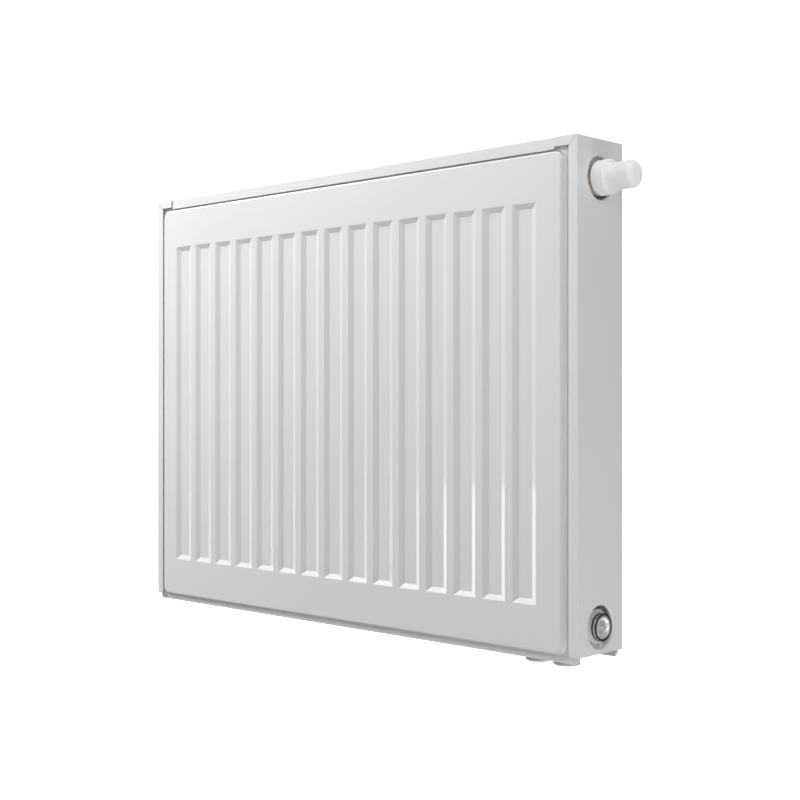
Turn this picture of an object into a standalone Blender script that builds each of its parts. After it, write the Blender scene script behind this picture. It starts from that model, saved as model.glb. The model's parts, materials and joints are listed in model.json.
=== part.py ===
"""Steel panel radiator with bottom connections, modelled piece by piece.

Frame: +X along the length towards the valve end, +Y towards the wall, +Z up.
The origin is the hanging point: midway between the two upper lugs, on the plane of the
lugs' wall-side faces, at the height of the ledges that sit on the wall brackets.
Most places are given as a depth behind the front plane and a height above the lower edge.
Metres throughout.
"""

import math

import bmesh
import bpy
from mathutils import Matrix, Vector

# Overall size
LENGTH = 0.653
HEIGHT = 0.500
DEPTH = 0.075
GAP = 0.0003

# Hanging lugs: they set the origin
LUG_SEAT_DROP = 0.052
LUG_SHEET = 0.002
LUG_STAND_OFF = 0.008
LUG_WIDTH = 0.028
LUG_FROM_END = 0.115
LUG_LIP_DROP = 0.020
LUG_FOOT_UP = 0.014
LUG_FOOT_DOWN = 0.030
LOWER_LUG_HEIGHT = 0.090

# Pressed sheets of the two panels
SHEET = 0.0012
FACE_DEPTH = 0.0005
FLANGE_DEPTH = 0.0065
FLANGE_SIDE_GAP = 0.003
FLANGE_TOP_GAP = 0.003
FACE_LEFT_MARGIN = 0.0127
FACE_RIGHT_MARGIN = 0.0193
FACE_BOTTOM_MARGIN = 0.0081
FACE_TOP_MARGIN = 0.0145
WALL_RUN = 0.0022
PANEL_THICKNESS = 0.013

# Flutes pressed into every sheet
FLUTE_COUNT = 15
FLUTE_PITCH = 0.0383
FLUTE_WIDTH = 0.0292
FLUTE_WALL_RUN = 0.0065
FLUTE_END_RUN = 0.0052
FLUTE_DEPTH = 0.0026
FIRST_FLUTE = 0.0379
FLUTE_BOTTOM = 0.052
FLUTE_TOP = 0.440

# Side panels and grille
COVER_SHEET = 0.001
LIP_WIDTH = 0.0104
SIDE_BOTTOM = 0.0068
SIDE_TOP_FLANGE = 0.028
SIDE_TAB_DROP = 0.0095
SIDE_FLANGE_DEPTH = 0.068
SIDE_CORNER_RADIUS = 0.005
MITRE_SLIT = 0.0005
MITRE_BRIDGE = 0.0016
SIDE_HOLE_RADIUS = 0.0205
GRILLE_LIP_DROP = 0.0110
GRILLE_LIP_DEPTH = 0.0013
GRILLE_SLOTS = 44
SLOT_WIDTH = 0.0065
SLOT_PITCH = 0.0130
SLOT_LENGTH = 0.048

# Convector fin
FIN_SHEET = 0.0006
FIN_DEPTH = 0.033
FIN_PITCH = 0.0255
FIN_WAVES = 19
FIN_CREST = 0.0095
FIN_LEFT = 0.050
FIN_BOTTOM = 0.055
FIN_TOP = 0.440

# Tees that join the two panels at the corners
UPPER_PORT = 0.462
LOWER_PORT = 0.0325
MID_DEPTH = DEPTH / 2
TEE_BRANCH = 0.0404
VALVE_BRANCH = 0.034
TEE_RADIUS = 0.015
TEE_BORE = 0.0095
SOCKET_RADIUS = 0.0168
SOCKET_BORE = 0.0102
SOCKET_RECESS = 0.004
WATER_HOLE = 0.0085
BOSS_ROOT = 0.0043
RETURN_BORE = 0.008
RETURN_BOSS_LOW = 0.012

# Bottom connections
RETURN_FROM_END = 0.0404
SUPPLY_FROM_END = 0.0745
NIPPLE_RADIUS = 0.0134
NIPPLE_BORE = 0.0093
NIPPLE_DROP = 0.0088
NIPPLE_CHAMFER = 0.002
NECK_RADIUS = 0.010
PIPE_RADIUS = 0.007
PIPE_WALL = 0.0012
PIPE_BEND = 0.016
PORT_BORE = PIPE_RADIUS + GAP

# Valve, measured outwards from the outer face of the right side panel
SEAT_OUTER = -0.0441
SEAT_INNER = -0.0471
SEAT_BORE = 0.006
CHAMBER_BORE = 0.009
PORT_RADIUS = 0.0125
PORT_END = -0.058
INSERT_END = -0.020
INSERT_THREAD = 0.0099
INSERT_HEX = 0.0142
INSERT_HEX_END = 0.0004
INSERT_NOSE_THREAD = 0.0148
INSERT_NOSE_START = 0.0016
INSERT_NOSE_END = 0.0098
SPINDLE_GUIDE = 0.0025
SPRING_CHAMBER = 0.0062
SPRING_CHAMBER_START = -0.0170
SPRING_CHAMBER_END = 0.0
GLAND_BORE = 0.0052
GLAND_SEAT = 0.0030
GLAND_RIM_RADIUS = 0.0062
GLAND_RIM_END = 0.0120
CAP_COLLAR_RADIUS = 0.0170
CAP_COLLAR_BORE = 0.0152
CAP_NOSE_RADIUS = 0.0131
CAP_NOSE_BORE = 0.0112
CAP_END = 0.0413
CAP_ROOF = 0.0035
CAP_TIP_RADIUS = 0.0060
CAP_PUSHER = 0.0035
CAP_COLLAR_START = -0.0005
CAP_COLLAR_END = 0.0140
CAP_BEVEL = 0.0015
DIAL_RADIUS = 0.0105
DIAL_BORE = 0.0065
DIAL_HEIGHT = 0.0043
DIAL_BEVEL = 0.0011
DIAL_NOTCH_WIDTH = 0.0016
DIAL_NOTCH_DEPTH = 0.0025
SPINDLE_RADIUS = 0.0020
SPINDLE_TIP = 0.0240
SPINDLE_FOOT = -0.0433
SPINDLE_FLANGE = 0.0040
SPINDLE_TRAVEL = 0.0025
DISC_RADIUS = 0.0074
DISC_START = -0.0413
DISC_END = -0.0383
SPRING_PLATE_RADIUS = 0.0055
SPRING_PLATE_THICKNESS = 0.0018
SPRING_START = -0.0167
SPRING_END = -0.0043
SPRING_TURNS = 5
SPRING_RADIUS = 0.0044
SPRING_WIRE = 0.0006

# Plugs and air vent, measured outwards from the outer face of a side panel
SCREWED_END = -0.0180
SCREWED_CHAMFER = 0.0012
SHOULDER = -0.0036
SEAL_GROOVE_START = -0.0050
SEAL_GROOVE_RADIUS = 0.0090
SEAL_RADIUS = 0.0101
PLUG_RADIUS = 0.0127
PLUG_RIM = 0.0018
PLUG_FACE = 0.0034
PLUG_DISC_RADIUS = 0.0113
PLUG_DISH_RADIUS = 0.0085
PLUG_DISH_FLOOR = 0.0012
PLUG_KEY_RADIUS = 0.0058
PLUG_KEY_FLOOR = -0.0070
RING_RADIUS = 0.0134
RING_BEVEL = 0.0003
RING_GROOVE_START = -0.0022
RING_GROOVE_END = -0.0006
RING_GROOVE_DEPTH = 0.0020
VENT_BORE = 0.0031
VENT_WATERWAY = 0.0012
VENT_WATERWAY_END = -0.0090
VENT_SEAT = -0.0060
VENT_RIM = 0.0020
VENT_SPIGOT_RADIUS = 0.0070
VENT_SPIGOT_END = 0.0034
NOZZLE_RADIUS = 0.0092
NOZZLE_BORE = 0.0045
NOZZLE_START = 0.0037
NOZZLE_END = 0.0095
NOZZLE_BEVEL = 0.0008
SPOUT_RADIUS = 0.0022
SPOUT_BORE = 0.0010
SPOUT_OUT = 0.0066
SPOUT_REACH = 0.0140
VENT_SCREW_RADIUS = 0.0028
VENT_SCREW_HEAD = 0.0036
VENT_SCREW_HEAD_START = 0.0044
VENT_SCREW_HEAD_END = 0.0080
VENT_KEY_HALF = 0.0025
VENT_KEY_HEIGHT = 0.0080

# Facets of round pieces
FINE = 24
PLAIN = 16
COARSE = 10
CROSSING_PHASE = 0.31

DOWN = (0, 0, -1)

FRONT_Y = -(DEPTH - FACE_DEPTH + GAP + 2 * LUG_SHEET + LUG_STAND_OFF)
BOTTOM_Z = LUG_SEAT_DROP - HEIGHT
HALF = LENGTH / 2


def clear_scene():
    """Empty the scene before building."""
    for existing in list(bpy.data.objects):
        bpy.data.objects.remove(existing, do_unlink=True)


def point(x, depth, height):
    """World point from the place along the length, the depth and the height."""
    return Vector((x, FRONT_Y + depth, BOTTOM_Z + height))


def material(name, colour, roughness, metallic=0.0):
    """Principled material, shared by name."""
    found = bpy.data.materials.get(name)
    if found:
        return found
    made = bpy.data.materials.new(name)
    made.use_nodes = True
    shader = made.node_tree.nodes["Principled BSDF"]
    shader.inputs["Base Color"].default_value = (*colour, 1.0)
    shader.inputs["Roughness"].default_value = roughness
    shader.inputs["Metallic"].default_value = metallic
    return made


def white_paint():
    return material("white_paint", (0.86, 0.87, 0.88), 0.30)


def inner_paint():
    return material("inner_paint", (0.80, 0.81, 0.82), 0.45)


def white_plastic():
    return material("white_plastic", (0.88, 0.89, 0.89), 0.35)


def chrome():
    return material("chrome", (0.80, 0.80, 0.81), 0.12, 1.0)


def brass():
    return material("brass", (0.78, 0.60, 0.30), 0.30, 1.0)


def steel():
    return material("steel", (0.62, 0.62, 0.63), 0.35, 1.0)


def black_rubber():
    return material("black_rubber", (0.02, 0.02, 0.02), 0.60)


def red_plastic():
    return material("red_plastic", (0.62, 0.05, 0.04), 0.40)


def link(name, mesh, finish, smooth=False):
    """Object for a mesh, with its finish."""
    piece = bpy.data.objects.new(name, mesh)
    bpy.context.scene.collection.objects.link(piece)
    mesh.materials.append(finish)
    if smooth:
        mesh.shade_smooth()
        mesh.set_sharp_from_angle(angle=math.radians(35))
    return piece


def finish_mesh(name, bm):
    """Turn a bmesh into a mesh with its faces pointing out."""
    bmesh.ops.recalc_face_normals(bm, faces=bm.faces)
    mesh = bpy.data.meshes.new(name)
    bm.to_mesh(mesh)
    bm.free()
    return mesh


def prism_mesh(name, outline, thickness):
    """Closed outline in the local XY plane, raised along local +Z."""
    bm = bmesh.new()
    bottom = [bm.verts.new((x, y, 0.0)) for x, y in outline]
    face = bm.faces.new(bottom)
    raised = bmesh.ops.extrude_face_region(bm, geom=[face])
    top = [item for item in raised["geom"] if isinstance(item, bmesh.types.BMVert)]
    bmesh.ops.translate(bm, verts=top, vec=(0.0, 0.0, thickness))
    return finish_mesh(name, bm)


def prism(name, outline, thickness, finish):
    return link(name, prism_mesh(name, outline, thickness), finish)


def box_outline(low, high):
    """Rectangle between two corners."""
    return [(low[0], low[1]), (high[0], low[1]), (high[0], high[1]), (low[0], high[1])]


def turned_mesh(name, profile, facets, phase=0.0):
    """Closed profile of (radius, along) points turned about local Z.

    The phase turns the facets by a share of one facet.
    """
    bm = bmesh.new()
    rings = []
    for radius, along in profile:
        if radius == 0.0:
            rings.append([bm.verts.new((0.0, 0.0, along))] * facets)
            continue
        ring = []
        for step in range(facets):
            angle = 2 * math.pi * (step + phase) / facets
            place = (radius * math.cos(angle), radius * math.sin(angle), along)
            ring.append(bm.verts.new(place))
        rings.append(ring)
    for index, ring in enumerate(rings):
        after = rings[(index + 1) % len(rings)]
        for step in range(facets):
            turn = (step + 1) % facets
            corners = [ring[step], ring[turn], after[turn], after[step]]
            corners = list(dict.fromkeys(corners))
            if len(corners) > 2:
                bm.faces.new(corners)
    return finish_mesh(name, bm)


def turned(name, profile, facets, finish):
    return link(name, turned_mesh(name, profile, facets), finish, smooth=True)


def ring_profile(inner, outer, start, end):
    return [(inner, start), (outer, start), (outer, end), (inner, end)]


def rod_profile(radius, start, end):
    return [(0.0, start), (radius, start), (radius, end), (0.0, end)]


def aim(piece, place, direction):
    """Put a piece's origin at a place, with its local +Z along a direction."""
    piece.location = place
    piece.rotation_euler = Vector(direction).to_track_quat("Z", "Y").to_euler()
    return piece


def hide_cutter(cutter):
    cutter.hide_render = True
    cutter.display_type = "WIRE"
    return cutter


def boolean(piece, other, operation):
    """Exact Boolean of a piece with a hidden helper."""
    hide_cutter(other)
    modifier = piece.modifiers.new(f"{operation.lower()}_{other.name}", "BOOLEAN")
    modifier.operation = operation
    modifier.solver = "EXACT"
    modifier.object = other


def cut(piece, other):
    boolean(piece, other, "DIFFERENCE")


def fuse(piece, other):
    boolean(piece, other, "UNION")


def cutter_turned(name, profile, place, direction, facets=FINE):
    """Hidden turned helper along a direction.

    Its facets are turned a little, so that no edge of two crossing rods coincides.
    """
    piece = link(name, turned_mesh(name, profile, facets, CROSSING_PHASE), steel())
    return aim(piece, place, direction)


def cutter_rod(name, radius, start, end, place, direction, facets=FINE):
    """Hidden round helper of one radius, from start to end along a direction."""
    return cutter_turned(name, rod_profile(radius, start, end), place, direction, facets)


# ---------------------------------------------------------------- pressed sheets


def flute_spans():
    """Left and right edge of every flute."""
    start = -HALF + FIRST_FLUTE
    spans = []
    for index in range(FLUTE_COUNT):
        left = start + index * FLUTE_PITCH
        spans.append((left, left + FLUTE_WIDTH))
    return spans


def rectangle_ring(left, right, bottom, top, depth):
    """Four corners of a rectangle at one depth, anticlockwise."""
    return [(left, depth, bottom), (right, depth, bottom), (right, depth, top), (left, depth, top)]


def sheet_outline_faces(flange, face, flute):
    """Faces of one side of a pressed sheet as lists of (x, depth, height) corners."""
    top_edge = HEIGHT - FLANGE_TOP_GAP
    edge = HALF - FLANGE_SIDE_GAP
    left, right = -HALF + FACE_LEFT_MARGIN, HALF - FACE_RIGHT_MARGIN
    bottom, top = FACE_BOTTOM_MARGIN, HEIGHT - FACE_TOP_MARGIN
    rings = [
        rectangle_ring(-edge, edge, 0.0, top_edge, flange),
        rectangle_ring(
            left - WALL_RUN, right + WALL_RUN, bottom - WALL_RUN, top + WALL_RUN, flange,
        ),
        rectangle_ring(left, right, bottom, top, face),
    ]
    faces = []
    for outer, inner in zip(rings, rings[1:]):
        for side in range(4):
            turn = (side + 1) % 4
            faces.append([outer[side], outer[turn], inner[turn], inner[side]])

    low_left, low_right, high_right, high_left = rings[2]
    spans = flute_spans()
    low_row = [(x, face, FLUTE_BOTTOM) for span in spans for x in span]
    high_row = [(x, face, FLUTE_TOP) for span in spans for x in span]
    faces.append([low_left, low_right, *reversed(low_row)])
    faces.append([*high_row, high_right, high_left])
    faces.append([low_left, low_row[0], high_row[0], high_left])
    faces.append([low_right, high_right, high_row[-1], low_row[-1]])
    for index in range(1, len(low_row) - 1, 2):
        flat = [low_row[index], low_row[index + 1], high_row[index + 1], high_row[index]]
        faces.append(flat)
    for left, right in spans:
        rim = rectangle_ring(left, right, FLUTE_BOTTOM, FLUTE_TOP, face)
        floor = rectangle_ring(
            left + FLUTE_WALL_RUN,
            right - FLUTE_WALL_RUN,
            FLUTE_BOTTOM + FLUTE_END_RUN,
            FLUTE_TOP - FLUTE_END_RUN,
            flute,
        )
        for side in range(4):
            turn = (side + 1) % 4
            faces.append([rim[side], rim[turn], floor[turn], floor[side]])
        faces.append(floor)
    return faces, rings[0]


def pressed_sheet(name, flange, face, flute, mirrored):
    """Sheet of constant depth thickness, pressed from its flange to its face and flutes.

    Depths are those of the side nearer the front panel's front. A mirrored sheet belongs to
    the rear panel and is measured forwards from the wall side.
    """
    faces, edge = sheet_outline_faces(flange, face, flute)
    bm = bmesh.new()
    known = {}

    def corner(spot, extra):
        x, depth, height = spot
        depth = depth + extra
        if mirrored:
            depth = DEPTH - depth
        key = (round(x, 6), round(height, 6), round(depth, 6))
        if key not in known:
            known[key] = bm.verts.new(point(x, depth, height))
        return known[key]

    for extra in (0.0, SHEET):
        for outline in faces:
            bm.faces.new([corner(spot, extra) for spot in outline])
    for side in range(4):
        turn = (side + 1) % 4
        near = [corner(edge[side], 0.0), corner(edge[turn], 0.0)]
        far = [corner(edge[turn], SHEET), corner(edge[side], SHEET)]
        bm.faces.new(near + far)
    return link(name, finish_mesh(name, bm), white_paint())


def build_panels():
    """Two sheets for each panel, with water holes in the inner sheets."""
    inner_flange = FLANGE_DEPTH + SHEET + GAP
    inner_face = PANEL_THICKNESS - SHEET
    inner_flute = FACE_DEPTH + FLUTE_DEPTH + SHEET + GAP
    face_flute = FACE_DEPTH + FLUTE_DEPTH
    pressed_sheet("front_face_sheet", FLANGE_DEPTH, FACE_DEPTH, face_flute, False)
    pressed_sheet("rear_wall_sheet", FLANGE_DEPTH, FACE_DEPTH, face_flute, True)
    front_inner = pressed_sheet("front_inner_sheet", inner_flange, inner_face, inner_flute, False)
    rear_inner = pressed_sheet("rear_inner_sheet", inner_flange, inner_face, inner_flute, True)
    middle = PANEL_THICKNESS - SHEET / 2
    for sheet, depth in ((front_inner, middle), (rear_inner, DEPTH - middle)):
        for label, x, height, _ in tee_places():
            helper = cutter_rod(
                f"water_hole_{sheet.name}_{label}", WATER_HOLE, -SHEET, SHEET,
                point(x, depth, height), (0, 1, 0), PLAIN,
            )
            cut(sheet, helper)


# ---------------------------------------------------------------- covers


def build_grille():
    """Channel with a front and a rear lip, and a row of slots across it."""
    end = HALF - SIDE_TOP_FLANGE - GAP
    front = GRILLE_LIP_DEPTH
    back = DEPTH - GRILLE_LIP_DEPTH
    low = HEIGHT - GRILLE_LIP_DROP
    under = HEIGHT - COVER_SHEET
    outline = [
        (front, low), (front + COVER_SHEET, low), (front + COVER_SHEET, under),
        (back - COVER_SHEET, under), (back - COVER_SHEET, low), (back, low),
        (back, HEIGHT), (front, HEIGHT),
    ]
    grille = prism("top_grille", outline, 2 * end, white_paint())
    stand_outline(grille, -end)
    slots = bmesh.new()
    first = -SLOT_PITCH * (GRILLE_SLOTS - 1) / 2
    for index in range(GRILLE_SLOTS):
        centre = point(first + index * SLOT_PITCH, MID_DEPTH, HEIGHT)
        size = Matrix.Diagonal((SLOT_WIDTH, SLOT_LENGTH, 4 * COVER_SHEET, 1.0))
        bmesh.ops.create_cube(slots, size=1.0, matrix=Matrix.Translation(centre) @ size)
    cut(grille, link("grille_slot_cutter", finish_mesh("grille_slot_cutter", slots), steel()))
    build_grille_tongues(grille, end)


def build_grille_tongues(grille, end):
    """Lowered tongues at both ends of the grille, which slide under the side panels."""
    reach = 0.014
    under = HEIGHT - COVER_SHEET
    low = under - GAP - COVER_SHEET
    for label, side in (("left", -1), ("right", 1)):
        outline = [
            (end - 0.004, under), (end - 0.004, low), (end + reach, low),
            (end + reach, under - GAP), (end - GAP, under - GAP), (end - GAP, under + GAP),
            (end - 0.002, under + GAP),
        ]
        name = f"grille_tongue_{label}"
        tongue = prism(name, [(side * x, height) for x, height in outline], 0.040, steel())
        tongue.matrix_world = Matrix((
            (1, 0, 0, 0),
            (0, 0, 1, FRONT_Y + MID_DEPTH - 0.020),
            (0, 1, 0, BOTTOM_Z),
            (0, 0, 0, 1),
        ))
        fuse(grille, tongue)


def stand_outline(piece, start):
    """Stand a prism drawn in (depth, height) so that it runs along +X from start."""
    piece.matrix_world = Matrix((
        (0, 0, 1, start),
        (1, 0, 0, FRONT_Y),
        (0, 1, 0, BOTTOM_Z),
        (0, 0, 0, 1),
    ))
    return piece


def build_side_panel(label, side):
    """Channel with a front and a rear lip, a top flange and a front corner tab."""
    outer = HALF
    inner = HALF - COVER_SHEET
    lip = HALF - LIP_WIDTH
    channel = [
        (lip, 0.0), (outer, 0.0), (outer, DEPTH), (lip, DEPTH), (lip, DEPTH - COVER_SHEET),
        (inner, DEPTH - COVER_SHEET), (inner, COVER_SHEET), (lip, COVER_SHEET),
    ]
    name = f"side_panel_{label}"
    outline = [(side * x, FRONT_Y + depth) for x, depth in channel]
    panel = prism(name, outline, HEIGHT - SIDE_BOTTOM, white_paint())
    panel.location = (0.0, 0.0, BOTTOM_Z + SIDE_BOTTOM)

    width = SIDE_TOP_FLANGE - COVER_SHEET / 2
    flange_end = HALF - SIDE_TOP_FLANGE
    top = [
        (0.0, HEIGHT - SIDE_TAB_DROP), (COVER_SHEET, HEIGHT - SIDE_TAB_DROP),
        (COVER_SHEET, HEIGHT - COVER_SHEET), (SIDE_FLANGE_DEPTH, HEIGHT - COVER_SHEET),
        (SIDE_FLANGE_DEPTH, HEIGHT), (0.0, HEIGHT),
    ]
    flange = prism(f"{name}_top_flange", top, width, steel())
    stand_outline(flange, flange_end if side > 0 else -flange_end - width)
    fuse(panel, flange)

    cut(panel, mitre_cutter(f"{name}_mitre", side))
    cut(panel, corner_cutter(f"{name}_corner", side))
    for port, height in (("upper", UPPER_PORT), ("lower", LOWER_PORT)):
        hole = cutter_rod(
            f"{name}_{port}_hole", SIDE_HOLE_RADIUS, -2 * COVER_SHEET, 2 * COVER_SHEET,
            point(side * HALF, MID_DEPTH, height), (1, 0, 0),
        )
        cut(panel, hole)
    return panel


def mitre_cutter(name, side):
    """Thin slanted blade that parts the front lip from the corner tab."""
    inner = Vector((HALF - LIP_WIDTH - 0.002, HEIGHT - LIP_WIDTH - 0.002))
    outer = Vector((HALF - MITRE_BRIDGE, HEIGHT - MITRE_BRIDGE))
    across = Vector((-1, 1)).normalized() * (MITRE_SLIT / 2)
    outline = [inner + across, inner - across, outer - across, outer + across]
    blade = prism(name, [(side * spot.x, spot.y) for spot in outline], 3 * COVER_SHEET, steel())
    blade.matrix_world = Matrix((
        (1, 0, 0, 0),
        (0, 0, 1, FRONT_Y - COVER_SHEET),
        (0, 1, 0, BOTTOM_Z),
        (0, 0, 0, 1),
    ))
    return blade


def corner_cutter(name, side):
    """Rounds the rear top corner of a side panel."""
    radius = SIDE_CORNER_RADIUS
    centre = Vector((DEPTH - radius, HEIGHT - radius))
    steps = 6
    outline = [(DEPTH + radius, HEIGHT - radius), (DEPTH + radius, HEIGHT + radius)]
    outline.append((DEPTH - radius, HEIGHT + radius))
    for step in range(steps + 1):
        angle = math.radians(90 - 90 * step / steps)
        outline.append((centre.x + radius * math.cos(angle), centre.y + radius * math.sin(angle)))
    length = LIP_WIDTH + 2 * COVER_SHEET
    cutter = prism(name, outline, length, steel())
    return stand_outline(cutter, HALF + COVER_SHEET - length if side > 0 else -HALF - COVER_SHEET)


def build_clips():
    """Clips that straddle the seam flanges and hold the side panels."""
    outer_low = FLANGE_DEPTH - 0.0014
    outer_high = FLANGE_DEPTH + 2 * SHEET + 2 * GAP + 0.0014
    slot_low = FLANGE_DEPTH - GAP
    slot_high = FLANGE_DEPTH + 2 * SHEET + 2 * GAP
    closed = HALF - COVER_SHEET - GAP
    opened = HALF - 0.010
    inner = HALF - FLANGE_SIDE_GAP + GAP
    outline = [
        (opened, outer_low), (closed, outer_low), (closed, outer_high), (opened, outer_high),
        (opened, slot_high), (inner, slot_high), (inner, slot_low), (opened, slot_low),
    ]
    length = 0.030
    for label, side in (("left", -1), ("right", 1)):
        for panel, mirrored in (("front", False), ("rear", True)):
            shape = []
            for x, depth in outline:
                place = DEPTH - depth if mirrored else depth
                shape.append((side * x, FRONT_Y + place))
            clip = prism(f"side_clip_{panel}_{label}", shape, length, white_plastic())
            clip.location = (0.0, 0.0, BOTTOM_Z + HEIGHT / 2 - length / 2)


# ---------------------------------------------------------------- between the panels


def build_convector():
    """Corrugated fin along the back of the front panel."""
    near = PANEL_THICKNESS + GAP
    far = near + FIN_DEPTH
    rise = (FIN_PITCH - 2 * FIN_CREST) / 2
    start = -HALF + FIN_LEFT
    path = []
    for wave in range(FIN_WAVES):
        x = start + wave * FIN_PITCH
        path += [(x, near), (x + FIN_CREST, near)]
        path += [(x + FIN_CREST + rise, far), (x + 2 * FIN_CREST + rise, far)]
    path += [(start + FIN_WAVES * FIN_PITCH, near)]
    path += [(start + FIN_WAVES * FIN_PITCH + FIN_CREST, near)]
    slope = math.atan2(FIN_DEPTH, rise)
    shift = FIN_SHEET * (1 - math.cos(slope)) / math.sin(slope)
    lower = []
    upper = []
    for index, (x, depth) in enumerate(path):
        phase = index % 4
        first_or_last = index in (0, len(path) - 1)
        if depth == near:
            lower.append((x, near))
            step = 0.0
            if not first_or_last:
                step = shift if phase == 0 else -shift
            upper.append((x + step, near + FIN_SHEET))
        else:
            upper.append((x, far))
            step = shift if phase == 2 else -shift
            lower.append((x + step, far - FIN_SHEET))
    outline = [(x, FRONT_Y + depth) for x, depth in lower + upper[::-1]]
    fin = prism("convector_fin", outline, FIN_TOP - FIN_BOTTOM, inner_paint())
    fin.location = (0.0, 0.0, BOTTOM_Z + FIN_BOTTOM)


def tee_places():
    """Label, place along X, height and side of the four corner tees."""
    return (
        ("top_left", -HALF + TEE_BRANCH, UPPER_PORT, -1),
        ("bottom_left", -HALF + TEE_BRANCH, LOWER_PORT, -1),
        ("bottom_right", HALF - TEE_BRANCH, LOWER_PORT, 1),
        ("top_right", HALF - VALVE_BRANCH, UPPER_PORT, 1),
    )


def build_tee(name, place, outer, bore, side):
    """Cross tube between the panels, with branches along the length.

    The branches' outer shape and bore are profiles drawn outwards from the side panel's face.
    """
    length = DEPTH - 2 * PANEL_THICKNESS - 2 * GAP
    profile = rod_profile(TEE_RADIUS, -length / 2, length / 2)
    tee = aim(turned(name, profile, PLAIN, inner_paint()), place, (0, 1, 0))
    through = length / 2 + COVER_SHEET
    origin = Vector((side * HALF, place.y, place.z))
    fuse(tee, cutter_turned(f"{name}_branches", outer, origin, (side, 0, 0)))
    cut(tee, cutter_rod(f"{name}_cross_bore", TEE_BORE, -through, through, place, (0, 1, 0), PLAIN))
    cut(tee, cutter_turned(f"{name}_bore", bore, origin, (side, 0, 0)))
    return tee


def build_tees():
    """Three plain tees and the valve housing."""
    mouth = -SOCKET_RECESS
    for label, x, height, side in tee_places():
        place = point(x, MID_DEPTH, height)
        if label == "top_right":
            build_valve_housing(place)
            continue
        axis = abs(x) - HALF
        outer = rod_profile(SOCKET_RADIUS, axis - BOSS_ROOT, mouth)
        bore = rod_profile(SOCKET_BORE, axis + BOSS_ROOT, mouth + COVER_SHEET)
        tee = build_tee(f"tee_{label}", place, outer, bore, side)
        if label == "bottom_right":
            boss_end = LOWER_PORT - RETURN_BOSS_LOW
            reach = boss_end + COVER_SHEET
            fuse(tee, cutter_rod("return_boss", NIPPLE_RADIUS, BOSS_ROOT, boss_end, place, DOWN))
            cut(tee, cutter_rod("return_bore", RETURN_BORE, BOSS_ROOT, reach, place, DOWN, PLAIN))


def build_valve_housing(place):
    """Tee at the valve end: inlet port, seat wall, cross tube and insert socket."""
    mouth = -SOCKET_RECESS
    shoulder = -VALVE_BRANCH - 0.006
    outer = [
        (0.0, PORT_END), (PORT_RADIUS, PORT_END), (PORT_RADIUS, shoulder - 0.003),
        (SOCKET_RADIUS, shoulder), (SOCKET_RADIUS, mouth), (0.0, mouth),
    ]
    bore = [
        (0.0, PORT_END - COVER_SHEET), (PORT_BORE, PORT_END - COVER_SHEET),
        (PORT_BORE, SEAT_INNER), (SEAT_BORE, SEAT_INNER), (SEAT_BORE, SEAT_OUTER),
        (CHAMBER_BORE, SEAT_OUTER), (CHAMBER_BORE, INSERT_END - 0.002),
        (SOCKET_BORE, INSERT_END - 0.002), (SOCKET_BORE, mouth + COVER_SHEET),
        (0.0, mouth + COVER_SHEET),
    ]
    build_tee("valve_housing", place, outer, bore, 1)


def riser_path():
    """Centre line of the riser: up, round one bend, then towards the valve housing."""
    x = HALF - SUPPLY_FROM_END
    start = point(x, MID_DEPTH, 0.012)
    centre = point(x + PIPE_BEND, MID_DEPTH, UPPER_PORT - PIPE_BEND)
    steps = 8
    path = [start]
    for step in range(steps + 1):
        angle = math.pi - (math.pi / 2) * step / steps
        offset = Vector((math.cos(angle), 0.0, math.sin(angle))) * PIPE_BEND
        path.append(centre + offset)
    path.append(point(HALF - 0.0500, MID_DEPTH, UPPER_PORT))
    return path


def build_riser():
    """Open pipe from the supply nipple to the valve housing."""
    path = riser_path()
    facets = 12
    bm = bmesh.new()
    outer = []
    inner = []
    for index, place in enumerate(path):
        before = path[max(index - 1, 0)]
        after = path[min(index + 1, len(path) - 1)]
        along = (after - before).normalized()
        across = Vector((0.0, 1.0, 0.0))
        up = along.cross(across)
        for rings, radius in ((outer, PIPE_RADIUS), (inner, PIPE_RADIUS - PIPE_WALL)):
            ring = []
            for step in range(facets):
                angle = 2 * math.pi * step / facets
                offset = across * math.cos(angle) + up * math.sin(angle)
                ring.append(bm.verts.new(place + offset * radius))
            rings.append(ring)
    loops = outer + inner[::-1]
    for index, ring in enumerate(loops):
        after = loops[(index + 1) % len(loops)]
        for step in range(facets):
            turn = (step + 1) % facets
            bm.faces.new([ring[step], ring[turn], after[turn], after[step]])
    link("riser_pipe", finish_mesh("riser_pipe", bm), inner_paint(), smooth=True)


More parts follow.
